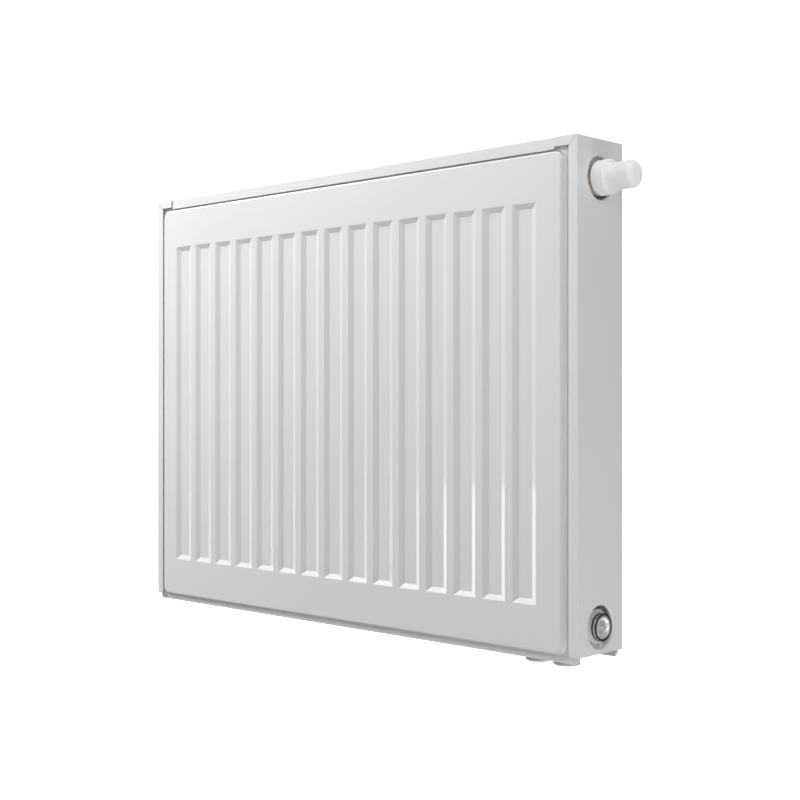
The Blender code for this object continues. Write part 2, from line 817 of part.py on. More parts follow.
def build_nipples():
    """Supply and return nipples under the lower edge, each with a transport plug."""
    bottom = -NIPPLE_DROP
    shoulder = 0.008
    supply = [
        (NIPPLE_BORE, bottom), (NIPPLE_RADIUS - NIPPLE_CHAMFER, bottom),
        (NIPPLE_RADIUS, bottom + NIPPLE_CHAMFER), (NIPPLE_RADIUS, shoulder),
        (NECK_RADIUS, shoulder + 0.003), (NECK_RADIUS, 0.024), (PORT_BORE, 0.024),
        (PORT_BORE, shoulder), (NIPPLE_BORE, shoulder - 0.002),
    ]
    meeting = RETURN_BOSS_LOW - GAP
    back = [
        (NIPPLE_BORE, bottom), (NIPPLE_RADIUS - NIPPLE_CHAMFER, bottom),
        (NIPPLE_RADIUS, bottom + NIPPLE_CHAMFER), (NIPPLE_RADIUS, meeting),
        (NIPPLE_BORE, meeting),
    ]
    plug_radius = NIPPLE_BORE - GAP
    plug = [
        (0.0, bottom + 0.0030), (0.0045, bottom + 0.0030), (0.0055, bottom + 0.0012),
        (plug_radius, bottom + 0.0012), (plug_radius, bottom + 0.0065), (0.0, bottom + 0.0065),
    ]
    for label, from_end, profile in (
        ("supply", SUPPLY_FROM_END, supply), ("return", RETURN_FROM_END, back),
    ):
        place = point(HALF - from_end, MID_DEPTH, 0.0)
        aim(turned(f"{label}_nipple", profile, FINE, white_paint()), place, (0, 0, 1))
        aim(turned(f"{label}_transport_plug", plug, PLAIN, white_plastic()), place, (0, 0, 1))


# ---------------------------------------------------------------- valve


def valve_origin():
    """Valve axis where it crosses the outer face of the right side panel."""
    return point(HALF, MID_DEPTH, UPPER_PORT)


def valve_piece(name, profile, facets, finish):
    """Turned piece on the valve axis, drawn outwards from the side panel's face."""
    return aim(turned(name, profile, facets, finish), valve_origin(), (1, 0, 0))


def build_valve():
    """Insert, seals, dial, spindle, disc, spring and protective cap."""
    insert = [
        (SPINDLE_GUIDE, INSERT_END), (INSERT_THREAD - SCREWED_CHAMFER, INSERT_END),
        (INSERT_THREAD, INSERT_END + SCREWED_CHAMFER), (INSERT_THREAD, SEAL_GROOVE_START),
        (SEAL_GROOVE_RADIUS, SEAL_GROOVE_START), (SEAL_GROOVE_RADIUS, SHOULDER),
        (INSERT_HEX, SHOULDER), (INSERT_HEX, INSERT_HEX_END),
        (INSERT_NOSE_THREAD, INSERT_NOSE_START), (INSERT_NOSE_THREAD, INSERT_NOSE_END - 0.0010),
        (INSERT_NOSE_THREAD - 0.0010, INSERT_NOSE_END), (GLAND_RIM_RADIUS, INSERT_NOSE_END),
        (GLAND_RIM_RADIUS, GLAND_RIM_END), (GLAND_BORE, GLAND_RIM_END),
        (GLAND_BORE, GLAND_SEAT), (SPINDLE_GUIDE, GLAND_SEAT),
        (SPINDLE_GUIDE, SPRING_CHAMBER_END), (SPRING_CHAMBER, SPRING_CHAMBER_END),
        (SPRING_CHAMBER, SPRING_CHAMBER_START), (SPINDLE_GUIDE, SPRING_CHAMBER_START),
    ]
    valve_piece("valve_insert_body", insert, FINE, brass())
    valve_piece("valve_insert_o_ring", seal_profile(), PLAIN, black_rubber())
    gland = ring_profile(
        SPINDLE_RADIUS + GAP, GLAND_BORE - GAP, GLAND_SEAT + GAP, GLAND_RIM_END - 0.0015,
    )
    valve_piece("spindle_gland", gland, PLAIN, brass())
    build_dial()

    plate_start = SPRING_END + GAP
    plate_end = plate_start + SPRING_PLATE_THICKNESS
    spindle = [
        (0.0, SPINDLE_FOOT), (SPINDLE_FLANGE, SPINDLE_FOOT), (SPINDLE_FLANGE, DISC_START - GAP),
        (SPINDLE_RADIUS, DISC_START - GAP), (SPINDLE_RADIUS, DISC_END + GAP),
        (SPINDLE_FLANGE, DISC_END + GAP), (SPINDLE_FLANGE, DISC_END + GAP + 0.0014),
        (SPINDLE_RADIUS, DISC_END + GAP + 0.0014), (SPINDLE_RADIUS, plate_start),
        (SPRING_PLATE_RADIUS, plate_start), (SPRING_PLATE_RADIUS, plate_end),
        (SPINDLE_RADIUS, plate_end), (SPINDLE_RADIUS, SPINDLE_TIP - 0.0006),
        (SPINDLE_RADIUS - 0.0006, SPINDLE_TIP), (0.0, SPINDLE_TIP),
    ]
    valve_piece("valve_spindle", spindle, COARSE, steel())
    disc = ring_profile(SPINDLE_RADIUS + GAP, DISC_RADIUS, DISC_START, DISC_END)
    valve_piece("valve_disc", disc, PLAIN, black_rubber())
    build_spring()
    build_cap()


def seal_profile():
    """Flat ring in the groove under a screwed piece's shoulder."""
    inner = SEAL_GROOVE_RADIUS + GAP
    return ring_profile(inner, SEAL_RADIUS, SEAL_GROOVE_START + GAP, SHOULDER - GAP)


def build_dial():
    """Presetting ring on the front of the insert, with a notch as its pointer."""
    start = INSERT_NOSE_END + GAP
    end = start + DIAL_HEIGHT
    profile = [
        (DIAL_BORE, start), (DIAL_RADIUS, start), (DIAL_RADIUS, end - DIAL_BEVEL),
        (DIAL_RADIUS - DIAL_BEVEL, end), (DIAL_BORE, end),
    ]
    dial = valve_piece("presetting_dial", profile, PLAIN, red_plastic())
    half = DIAL_NOTCH_WIDTH / 2
    low = DIAL_RADIUS - DIAL_NOTCH_DEPTH
    outline = box_outline((low, -half), (DIAL_RADIUS + COVER_SHEET, half))
    notch = prism("dial_notch", outline, DIAL_HEIGHT, steel())
    notch.matrix_world = Matrix.Translation(valve_origin()) @ Matrix((
        (0, 0, 1, end - DIAL_BEVEL), (0, 1, 0, 0), (1, 0, 0, 0), (0, 0, 0, 1),
    ))
    cut(dial, notch)


def build_spring():
    """Compression spring round the spindle, as a helix with flat-cut ends."""
    spring_steps = 12
    spline = bpy.data.curves.new("valve_spring", "CURVE")
    spline.dimensions = "3D"
    spline.bevel_depth = SPRING_WIRE
    spline.bevel_resolution = 0
    spline.use_fill_caps = True
    helix = spline.splines.new("POLY")
    count = SPRING_TURNS * spring_steps + 1
    helix.points.add(count - 1)
    start = SPRING_START + SPRING_WIRE
    rise = SPRING_END - SPRING_START - 2 * SPRING_WIRE
    for step in range(count):
        angle = 2 * math.pi * step / spring_steps
        along = start + rise * step / (count - 1)
        spot = (SPRING_RADIUS * math.cos(angle), SPRING_RADIUS * math.sin(angle), along, 1.0)
        helix.points[step].co = spot
    spring = bpy.data.objects.new("valve_spring", spline)
    bpy.context.scene.collection.objects.link(spring)
    spline.materials.append(steel())
    aim(spring, valve_origin(), (1, 0, 0))


def build_cap():
    """Protective cap: threaded collar, closed nose with a rounded tip, inner pusher.

    Its inner step clears the insert's nose when the cap is screwed in by the full travel.
    """
    tip_steps = 5
    nose_end = CAP_END - CAP_TIP_RADIUS
    profile = [
        (CAP_COLLAR_BORE, CAP_COLLAR_START), (CAP_COLLAR_RADIUS, CAP_COLLAR_START),
        (CAP_COLLAR_RADIUS, CAP_COLLAR_END - CAP_BEVEL),
        (CAP_COLLAR_RADIUS - CAP_BEVEL, CAP_COLLAR_END), (CAP_NOSE_RADIUS, CAP_COLLAR_END),
    ]
    for step in range(tip_steps + 1):
        angle = (math.pi / 2) * step / tip_steps
        radius = CAP_NOSE_RADIUS - CAP_TIP_RADIUS * (1 - math.cos(angle))
        profile.append((radius, nose_end + CAP_TIP_RADIUS * math.sin(angle)))
    roof = CAP_END - CAP_ROOF
    corner = 0.004
    step_start = INSERT_NOSE_END + SPINDLE_TRAVEL - GAP
    profile += [
        (0.0, CAP_END), (0.0, SPINDLE_TIP + GAP), (CAP_PUSHER, SPINDLE_TIP + GAP),
        (CAP_PUSHER, roof), (CAP_NOSE_BORE - corner, roof), (CAP_NOSE_BORE, roof - corner),
        (CAP_NOSE_BORE, step_start + 0.0016), (CAP_COLLAR_BORE, step_start),
    ]
    valve_piece("protective_cap", profile, FINE, white_plastic())


# ---------------------------------------------------------------- plugs and air vent


def build_plug(label, side, height):
    """Chrome plug with two black rings, screwed into a socket."""
    place = point(side * HALF, MID_DEPTH, height)
    outward = (side, 0, 0)
    groove = PLUG_RADIUS - RING_GROOVE_DEPTH
    edge = 0.0005
    body = [
        (0.0, SCREWED_END), (INSERT_THREAD - SCREWED_CHAMFER, SCREWED_END),
        (INSERT_THREAD, SCREWED_END + SCREWED_CHAMFER), (INSERT_THREAD, SHOULDER),
        (PLUG_RADIUS, SHOULDER), (PLUG_RADIUS, RING_GROOVE_START), (groove, RING_GROOVE_START),
        (groove, RING_GROOVE_END), (PLUG_RADIUS, RING_GROOVE_END), (PLUG_RADIUS, PLUG_RIM),
        (PLUG_DISC_RADIUS, PLUG_RIM), (PLUG_DISC_RADIUS, PLUG_FACE - edge),
        (PLUG_DISC_RADIUS - edge, PLUG_FACE), (PLUG_DISH_RADIUS, PLUG_FACE),
        (PLUG_DISH_RADIUS - 0.0007, PLUG_DISH_FLOOR), (0.0, PLUG_DISH_FLOOR),
    ]
    name = f"plug_{label}"
    plug = aim(turned(f"{name}_body", body, FINE, chrome()), place, outward)
    cut(plug, cutter_rod(f"{name}_key", PLUG_KEY_RADIUS, PLUG_KEY_FLOOR, PLUG_FACE, place, outward, 6))
    outer = bevelled_ring(PLUG_DISC_RADIUS + GAP, PLUG_RIM + GAP, PLUG_FACE + GAP / 3)
    inner = bevelled_ring(groove + GAP, RING_GROOVE_START + GAP, RING_GROOVE_END - GAP)
    aim(turned(f"{name}_outer_ring", outer, FINE, black_rubber()), place, outward)
    aim(turned(f"{name}_inner_ring", inner, FINE, black_rubber()), place, outward)


def bevelled_ring(inner, start, end):
    """Black ring of the plugs, with its two outer edges bevelled."""
    return [
        (inner, start), (RING_RADIUS - RING_BEVEL, start), (RING_RADIUS, start + RING_BEVEL),
        (RING_RADIUS, end - RING_BEVEL), (RING_RADIUS - RING_BEVEL, end), (inner, end),
    ]


def build_air_vent():
    """Vent plug at the upper left, with a turning nozzle and a key screw."""
    place = point(-HALF, MID_DEPTH, UPPER_PORT)
    outward = Vector((-1, 0, 0))
    body = [
        (VENT_WATERWAY, SCREWED_END), (INSERT_THREAD - SCREWED_CHAMFER, SCREWED_END),
        (INSERT_THREAD, SCREWED_END + SCREWED_CHAMFER), (INSERT_THREAD, SEAL_GROOVE_START),
        (SEAL_GROOVE_RADIUS, SEAL_GROOVE_START), (SEAL_GROOVE_RADIUS, SHOULDER),
        (PLUG_RADIUS, SHOULDER), (PLUG_RADIUS, VENT_RIM - 0.0010),
        (PLUG_RADIUS - 0.0007, VENT_RIM), (VENT_SPIGOT_RADIUS, VENT_RIM),
        (VENT_SPIGOT_RADIUS, VENT_SPIGOT_END), (VENT_BORE, VENT_SPIGOT_END),
        (VENT_BORE, VENT_SEAT), (VENT_WATERWAY, VENT_WATERWAY_END),
    ]
    aim(turned("air_vent_body", body, FINE, chrome()), place, outward)
    aim(turned("air_vent_o_ring", seal_profile(), PLAIN, black_rubber()), place, outward)

    nozzle_profile = [
        (NOZZLE_BORE, NOZZLE_START), (NOZZLE_RADIUS - NOZZLE_BEVEL, NOZZLE_START),
        (NOZZLE_RADIUS, NOZZLE_START + NOZZLE_BEVEL), (NOZZLE_RADIUS, NOZZLE_END - NOZZLE_BEVEL),
        (NOZZLE_RADIUS - NOZZLE_BEVEL, NOZZLE_END), (NOZZLE_BORE, NOZZLE_END),
    ]
    nozzle = aim(turned("air_vent_nozzle", nozzle_profile, PLAIN, white_plastic()), place, outward)
    spout_place = place + SPOUT_OUT * outward
    root = NOZZLE_BORE + SPOUT_RADIUS + GAP
    mouth = SPOUT_REACH + COVER_SHEET
    fuse(nozzle, cutter_rod("nozzle_spout", SPOUT_RADIUS, root, SPOUT_REACH, spout_place, DOWN, COARSE))
    cut(nozzle, cutter_rod("nozzle_spout_bore", SPOUT_BORE, 0.003, mouth, spout_place, DOWN, COARSE))

    neck = VENT_SPIGOT_END + 2 * GAP
    screw_profile = [
        (0.0, VENT_SEAT + 0.0010), (VENT_SCREW_RADIUS, VENT_SEAT + 0.0010),
        (VENT_SCREW_RADIUS, neck), (VENT_SCREW_HEAD, VENT_SCREW_HEAD_START),
        (VENT_SCREW_HEAD, VENT_SCREW_HEAD_END), (0.0, VENT_SCREW_HEAD_END),
    ]
    screw = aim(turned("air_vent_screw", screw_profile, COARSE, brass()), place, outward)
    half = VENT_KEY_HALF
    head = prism("screw_head", box_outline((-half, -half), (half, half)), VENT_KEY_HEIGHT, steel())
    aim(head, place + (VENT_SCREW_HEAD_END - 0.0010) * outward, outward)
    fuse(screw, head)


# ---------------------------------------------------------------- lugs


def build_lugs():
    """Folded straps on the wall sheet that hang over the wall brackets."""
    foot = DEPTH - FACE_DEPTH + GAP
    stand = foot + LUG_SHEET + LUG_STAND_OFF
    rows = (
        ("upper", HEIGHT - LUG_SEAT_DROP),
        ("lower", LOWER_LUG_HEIGHT),
    )
    for row, seat in rows:
        outline = [
            (foot, seat - LUG_FOOT_DOWN), (foot + LUG_SHEET, seat - LUG_FOOT_DOWN),
            (foot + LUG_SHEET, seat), (stand, seat), (stand, seat - LUG_LIP_DROP),
            (stand + LUG_SHEET, seat - LUG_LIP_DROP), (stand + LUG_SHEET, seat + LUG_SHEET),
            (foot + LUG_SHEET, seat + LUG_SHEET), (foot + LUG_SHEET, seat + LUG_FOOT_UP),
            (foot, seat + LUG_FOOT_UP),
        ]
        for label, side in (("left", -1), ("right", 1)):
            lug = prism(f"hanging_lug_{row}_{label}", outline, LUG_WIDTH, white_paint())
            stand_outline(lug, side * (HALF - LUG_FROM_END) - LUG_WIDTH / 2)


def build():
    clear_scene()
    build_panels()
    build_grille()
    build_side_panel("left", -1)
    build_side_panel("right", 1)
    build_clips()
    build_convector()
    build_tees()
    build_riser()
    build_nipples()
    build_valve()
    build_plug("bottom_right", 1, LOWER_PORT)
    build_plug("bottom_left", -1, LOWER_PORT)
    build_air_vent()
    build_lugs()


build()
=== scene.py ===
"""Looks of the steel panel radiator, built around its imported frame.

Metres, in the frame of the CAD model: +X towards the valve end, +Y towards the wall, +Z up.
Most places are a depth behind the front plane and a height above the lower edge.
"""
import json
import math

import bmesh
import bpy
from mathutils import Matrix, Vector


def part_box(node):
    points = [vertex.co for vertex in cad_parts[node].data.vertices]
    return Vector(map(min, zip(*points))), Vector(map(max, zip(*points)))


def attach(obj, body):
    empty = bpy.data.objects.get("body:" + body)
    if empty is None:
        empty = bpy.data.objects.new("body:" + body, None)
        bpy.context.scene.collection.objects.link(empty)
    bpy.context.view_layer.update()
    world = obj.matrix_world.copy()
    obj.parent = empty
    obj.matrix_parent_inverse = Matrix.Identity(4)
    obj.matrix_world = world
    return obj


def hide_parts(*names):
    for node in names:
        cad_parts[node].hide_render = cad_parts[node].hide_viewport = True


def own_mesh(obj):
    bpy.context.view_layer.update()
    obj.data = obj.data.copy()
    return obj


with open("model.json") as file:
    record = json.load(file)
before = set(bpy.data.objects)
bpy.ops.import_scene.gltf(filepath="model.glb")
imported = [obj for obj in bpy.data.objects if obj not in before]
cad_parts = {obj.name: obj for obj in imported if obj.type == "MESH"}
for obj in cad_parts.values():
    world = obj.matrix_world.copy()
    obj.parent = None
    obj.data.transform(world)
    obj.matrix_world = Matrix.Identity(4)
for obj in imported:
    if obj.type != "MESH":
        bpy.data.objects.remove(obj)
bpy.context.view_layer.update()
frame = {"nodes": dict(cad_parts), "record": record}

SIDE_LOW, SIDE_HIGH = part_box("side_panel_right")
HALF = SIDE_HIGH.x
FRONT = SIDE_LOW.y
DEPTH = SIDE_HIGH.y - SIDE_LOW.y
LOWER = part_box("front_face_sheet")[0].z
HEIGHT = SIDE_HIGH.z - LOWER
MIDDLE = DEPTH / 2
GAP = 0.0003
TINY = 1e-6


def at(x, depth, height):
    """World point from the place along the length, the depth and the height."""
    return Vector((x, FRONT + depth, LOWER + height))


def end_on(depth, height, x):
    """The same, for an outline that is drawn as seen from the end."""
    return at(x, depth, height)


# ---------------------------------------------------------------- materials


CLOUD_SHADE = 0.975
SPECK_SHADE = 0.93
FLOW_SHADE = 0.965
WIPE_SHADE = 0.94
STAIN_SHADE = 0.82


def shaded(tint, share):
    return tuple(channel * share for channel in tint)


class Nodes:
    """Shorthand for building a node material."""

    def __init__(self, name):
        self.material = bpy.data.materials.new(name)
        self.material.use_nodes = True
        self.tree = self.material.node_tree
        self.shader = self.tree.nodes["Principled BSDF"]
        self.place = self.add("ShaderNodeTexCoord").outputs["Object"]

    def add(self, kind, **values):
        node = self.tree.nodes.new(kind)
        for key, value in values.items():
            setattr(node, key, value)
        return node

    def join(self, output, socket):
        self.tree.links.new(output, socket)

    def stretched(self, scale):
        """Object place with another scale along each axis."""
        node = self.add("ShaderNodeMapping")
        node.inputs["Scale"].default_value = scale
        self.join(self.place, node.inputs["Vector"])
        return node.outputs["Vector"]

    def noise(self, scale, detail=3.0, rough=0.5, vector=None):
        node = self.add("ShaderNodeTexNoise")
        node.inputs["Scale"].default_value = scale
        node.inputs["Detail"].default_value = detail
        node.inputs["Roughness"].default_value = rough
        self.join(vector or self.place, node.inputs["Vector"])
        return node.outputs["Fac"]

    def spread(self, value, low, high, start=0.3, end=0.7):
        """Map a value between two limits."""
        node = self.add("ShaderNodeMapRange")
        node.inputs["From Min"].default_value = start
        node.inputs["From Max"].default_value = end
        node.inputs["To Min"].default_value = low
        node.inputs["To Max"].default_value = high
        self.join(value, node.inputs["Value"])
        return node.outputs["Result"]

    def blend(self, factor, first, second):
        """Colour between two colours."""
        node = self.add("ShaderNodeMix", data_type="RGBA")
        self.join(factor, node.inputs["Factor"])
        for socket, colour in ((6, first), (7, second)):
            if isinstance(colour, tuple):
                node.inputs[socket].default_value = (*colour, 1.0)
            else:
                self.join(colour, node.inputs[socket])
        return node.outputs[2]

    def bump(self, height, distance, strength=1.0, before=None):
        node = self.add("ShaderNodeBump")
        node.inputs["Distance"].default_value = distance
        node.inputs["Strength"].default_value = strength
        self.join(height, node.inputs["Height"])
        if before is not None:
            self.join(before, node.inputs["Normal"])
        return node.outputs["Normal"]

    def paint(self, colour, roughness=None, normal=None):
        """Connect the shader's inputs."""
        for key, output in (("Base Color", colour), ("Roughness", roughness), ("Normal", normal)):
            if output is not None:
                self.join(output, self.shader.inputs[key])
        return self.material


def set_inputs(material, **values):
    """Set uniform values on the shader's own sockets."""
    shader = material.node_tree.nodes["Principled BSDF"]
    names = {
        "metallic": "Metallic", "specular": "Specular IOR Level", "coat": "Coat Weight",
        "coat_roughness": "Coat Roughness", "subsurface": "Subsurface Weight",
        "subsurface_scale": "Subsurface Scale", "glow": "Emission Strength",
        "glow_colour": "Emission Color", "roughness": "Roughness",
    }
    for key, value in values.items():
        shader.inputs[names[key]].default_value = value
    shader.inputs["Subsurface Radius"].default_value = (1.0, 1.0, 1.0)
    return material


def enamel(name, tint, gloss, peel):
    """Stove enamel: slight orange peel, faint clouding, and gloss that varies a little."""
    n = Nodes(name)
    cloud = n.noise(3.0, 4.0, 0.55)
    speck = n.noise(900.0, 2.0, 0.6)
    colour = n.blend(n.spread(cloud, 0.0, 1.0), shaded(tint, CLOUD_SHADE), tint)
    specks = n.spread(speck, 0.0, 0.35, 0.62, 0.80)
    colour = n.blend(specks, colour, shaded(tint, SPECK_SHADE))
    roughness = n.spread(n.noise(9.0, 2.0, 0.5), gloss - 0.015, gloss + 0.015, 0.2, 0.8)
    fine = n.bump(n.noise(420.0, 2.0, 0.5), peel, 0.35)
    wave = n.bump(n.noise(28.0, 2.0, 0.5), peel * 5, 0.10, before=fine)
    material = n.paint(colour, roughness, wave)
    return set_inputs(material, specular=0.5, coat=0.6, coat_roughness=0.07)


def plastic(name, tint, gloss):
    """Moulded plastic: fine sparked grain and faint flow marks."""
    n = Nodes(name)
    flow = n.noise(22.0, 5.0, 0.6, n.stretched((0.4, 1.0, 1.0)))
    colour = n.blend(n.spread(flow, 0.0, 1.0), shaded(tint, FLOW_SHADE), tint)
    roughness = n.spread(n.noise(160.0, 3.0, 0.6), gloss - 0.04, gloss + 0.05)
    normal = n.bump(n.noise(1900.0, 2.0, 0.55), 0.00003, 0.5)
    material = n.paint(colour, roughness, normal)
    return set_inputs(material, specular=0.3, subsurface=0.5, subsurface_scale=0.004)


def glowing(material, strength):
    """Even self-glow: on the white plastic it is painted light that makes the mouldings lighter
    than their lamps make them; on the backdrop it keeps the floor evenly white.
    """
    return set_inputs(material, glow=strength, glow_colour=(1.0, 1.0, 1.0, 1.0))


def rubber(name):
    """Black seal rubber with mould bloom."""
    n = Nodes(name)
    bloom = n.noise(300.0, 4.0, 0.6)
    colour = n.blend(n.spread(bloom, 0.0, 1.0), (0.012, 0.012, 0.013), (0.030, 0.030, 0.032))
    roughness = n.spread(bloom, 0.42, 0.62)
    return n.paint(colour, roughness, n.bump(n.noise(2400.0, 2.0), 0.00002, 0.5))


def plated(name, tint, gloss):
    """Bright plated metal with faint wiping marks."""
    n = Nodes(name)
    wipe = n.noise(60.0, 5.0, 0.65, n.stretched((1.0, 0.3, 1.6)))
    colour = n.blend(n.spread(wipe, 0.0, 1.0), shaded(tint, WIPE_SHADE), tint)
    roughness = n.spread(wipe, gloss * 0.6, gloss * 1.6)
    material = n.paint(colour, roughness, n.bump(n.noise(240.0, 2.0), 0.00001, 0.3))
    return set_inputs(material, metallic=0.85)


def machined(name, tint, gloss):
    """Machined metal with fine tool marks along the length of the turned piece."""
    n = Nodes(name)
    marks = n.noise(1500.0, 3.0, 0.6, n.stretched((1.0, 0.05, 0.05)))
    stain = n.noise(120.0, 5.0, 0.6)
    colour = n.blend(n.spread(stain, 0.0, 1.0), shaded(tint, STAIN_SHADE), tint)
    roughness = n.spread(marks, gloss - 0.08, gloss + 0.12)
    material = n.paint(colour, roughness, n.bump(marks, 0.00003, 0.5))
    return set_inputs(material, metallic=1.0)


WHITE = enamel("white_enamel", (0.83, 0.835, 0.84), 0.30, 0.00005)
INNER = enamel("inner_enamel", (0.74, 0.745, 0.75), 0.48, 0.00007)
# The white plastic (cap, stoppers, vent nozzle) has an even painted glow, so it looks lighter than
# its shading alone makes it.
PLASTIC = glowing(plastic("moulded_white_painted_glow", (0.92, 0.922, 0.92), 0.46), 0.10)
RED = plastic("moulded_red", (0.58, 0.04, 0.035), 0.40)
RUBBER = rubber("seal_rubber")
CHROME = plated("chrome_plate", (0.96, 0.96, 0.965), 0.30)
BRASS = machined("turned_brass", (0.76, 0.57, 0.28), 0.30)
STEEL = machined("turned_steel", (0.60, 0.60, 0.61), 0.33)

SLOTS = {
    "white_paint": WHITE, "inner_paint": INNER, "white_plastic": PLASTIC, "red_plastic": RED,
    "black_rubber": RUBBER, "chrome": CHROME, "brass": BRASS, "steel": STEEL,
}


# ---------------------------------------------------------------- making pieces


def finish(name, bm, slot, body, *nodes, sharp=30.0):
    """Turn a bmesh into a piece that rides on a body and stands for CAD nodes."""
    bmesh.ops.recalc_face_normals(bm, faces=bm.faces)
    mesh = bpy.data.meshes.new(name)
    bm.to_mesh(mesh)
    bm.free()
    mesh.shade_smooth()
    mesh.set_sharp_from_angle(angle=math.radians(sharp))
    mesh.materials.append(SLOTS[slot])
    piece = bpy.data.objects.new(name, mesh)
    bpy.context.scene.collection.objects.link(piece)
    even = piece.modifiers.new("flat_faces_shade_flat", "WEIGHTED_NORMAL")
    even.keep_sharp = True
    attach(piece, body)
    if nodes:
        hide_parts(*nodes)
    return piece


def arc(centre, radius, start, end, steps):
    """Points of an arc, angles in degrees."""
    points = []
    for step in range(steps + 1):
        angle = math.radians(start + (end - start) * step / steps)
        points.append((
            centre[0] + radius * math.cos(angle), centre[1] + radius * math.sin(angle),
        ))
    return points


def rounded(profile, radii, steps=5):
    """Closed profile with its corners rounded by the given radii (0 keeps a corner)."""
    points = []
    count = len(profile)
    for index, radius in enumerate(radii):
        corner = Vector(profile[index])
        before = Vector(profile[index - 1]) - corner
        after = Vector(profile[(index + 1) % count]) - corner
        if radius <= 0:
            points.append(tuple(corner))
            continue
        half = before.angle(after) / 2
        reach = min(radius / math.tan(half), before.length * 0.49, after.length * 0.49)
        radius = reach * math.tan(half)
        bisector = (before.normalized() + after.normalized()).normalized()
        centre = corner + bisector * (radius / math.sin(half))
        first = corner + before.normalized() * reach - centre
        last = corner + after.normalized() * reach - centre
        turn = math.atan2(first.x * last.y - first.y * last.x, first.dot(last))
        for step in range(steps + 1):
            angle = turn * step / steps
            c, s = math.cos(angle), math.sin(angle)
            points.append((
                centre.x + first.x * c - first.y * s, centre.y + first.x * s + first.y * c,
            ))
    return points


def lathe(bm, profile, place, direction, facets=96, wobble=None):
    """Turn a closed (radius, along) profile about an axis, and add it to a bmesh."""
    turn = Vector(direction).to_track_quat("Z", "Y").to_matrix().to_4x4()
    matrix = Matrix.Translation(place) @ turn
    rings = []
    for radius, along in profile:
        if radius == 0.0:
            rings.append([bm.verts.new(matrix @ Vector((0.0, 0.0, along)))] * facets)
            continue
        ring = []
        for step in range(facets):
            angle = 2 * math.pi * step / facets
            r = radius if wobble is None else wobble(radius, along, angle)
            spot = Vector((r * math.cos(angle), r * math.sin(angle), along))
            ring.append(bm.verts.new(matrix @ spot))
        rings.append(ring)
    for index, ring in enumerate(rings):
        after = rings[(index + 1) % len(rings)]
        for step in range(facets):
            nxt = (step + 1) % facets
            corners = list(dict.fromkeys([ring[step], ring[nxt], after[nxt], after[step]]))
            if len(corners) > 2:
                bm.faces.new(corners)


def extra_rings(profile, radius, shares):
    """Profile with more points on its straight run at a radius, at shares of that run."""
    points = []
    for index, spot in enumerate(profile):
        after = profile[(index + 1) % len(profile)]
        points.append(spot)
        if abs(spot[0] - radius) < TINY and abs(after[0] - radius) < TINY:
            points += [(spot[0], spot[1] + (after[1] - spot[1]) * share) for share in shares]
    return points


def turned(name, profile, place, direction, slot, body, *nodes, facets=96, wobble=None):
    """Turned piece on a body, standing for CAD nodes."""
    bm = bmesh.new()
    lathe(bm, profile, place, direction, facets, wobble)
    return finish(name, bm, slot, body, *nodes)


def prism(outline, low, high, place):
    """Bmesh of a closed outline raised between two levels; place(a, b, level) gives a point."""
    bm = bmesh.new()
    floor = [bm.verts.new(place(a, b, low)) for a, b in outline]
    roof = [bm.verts.new(place(a, b, high)) for a, b in outline]
    bm.faces.new(floor)
    bm.faces.new(roof[::-1])
    count = len(outline)
    for index in range(count):
        nxt = (index + 1) % count
        bm.faces.new([floor[index], roof[index], roof[nxt], floor[nxt]])
    bmesh.ops.recalc_face_normals(bm, faces=bm.faces)
    return bm


def helper(bm):
    """Scratch object of a bmesh."""
    bmesh.ops.recalc_face_normals(bm, faces=bm.faces)
    mesh = bpy.data.meshes.new("scratch")
    bm.to_mesh(mesh)
    bm.free()
    made = bpy.data.objects.new("scratch", mesh)
    bpy.context.scene.collection.objects.link(made)
    return made


def combined(base, parts):
    """Bmesh of a base after its exact Booleans with (operation, bmesh) parts."""
    target = helper(base)
    tools = []
    for operation, bm in parts:
        tool = helper(bm)
        modifier = target.modifiers.new("step", "BOOLEAN")
        modifier.operation = operation
        modifier.solver = "EXACT"
        modifier.object = tool
        tools.append(tool)
    bpy.context.view_layer.update()
    graph = bpy.context.evaluated_depsgraph_get()
    result = bmesh.new()
    result.from_mesh(target.evaluated_get(graph).to_mesh())
    for item in [target, *tools]:
        bpy.data.objects.remove(item, do_unlink=True)
    bmesh.ops.remove_doubles(result, verts=result.verts, dist=TINY)
    bmesh.ops.dissolve_limit(
        result, angle_limit=math.radians(0.05), verts=result.verts, edges=result.edges,
    )
    return result


def break_edges(bm, width, angle=50.0):
    """Take the sharpness off every edge that is still sharper than an angle."""
    limit = math.radians(angle)
    edges = [e for e in bm.edges if len(e.link_faces) == 2 and e.calc_face_angle(0.0) > limit]
    bmesh.ops.bevel(
        bm, geom=edges, offset=width, segments=2, profile=0.5, affect="EDGES",
        clamp_overlap=True, offset_type="OFFSET",
    )


# ---------------------------------------------------------------- pressed sheets

SHEET = 0.0012
FACE_DEPTH = 0.0005
FLANGE_DEPTH = 0.0065
FLANGE_SIDE_GAP = 0.003
FLANGE_TOP_GAP = 0.003
CROWN_LEFT = 0.0123
CROWN_RIGHT = 0.0193
CROWN_BOTTOM = 0.0081
CROWN_TOP = 0.0141
CROWN_RISE = 0.0040
UPRIGHT_RUN, UPRIGHT_BEND = 0.0034, 0.0045
LEVEL_RUN, LEVEL_BEND = 0.0016, 0.0022
FOOT_BEND = 0.0012
CROWN_CORNER = 0.0085
CORNER_STEPS = 10
FLANGE_CORNER = 0.004

FLUTE_COUNT = 15
FLUTE_PITCH = 0.0383
FLUTE_WIDTH = 0.0292
FLUTE_RUN = 0.0065
FLUTE_END_RUN = 0.0052
FLUTE_DEPTH = 0.0026
FLUTE_BEND = 0.0026
FIRST_FLUTE = 0.0379
FLUTE_BOTTOM = 0.052
FLUTE_TOP = 0.440
SUPPORT = 0.0004


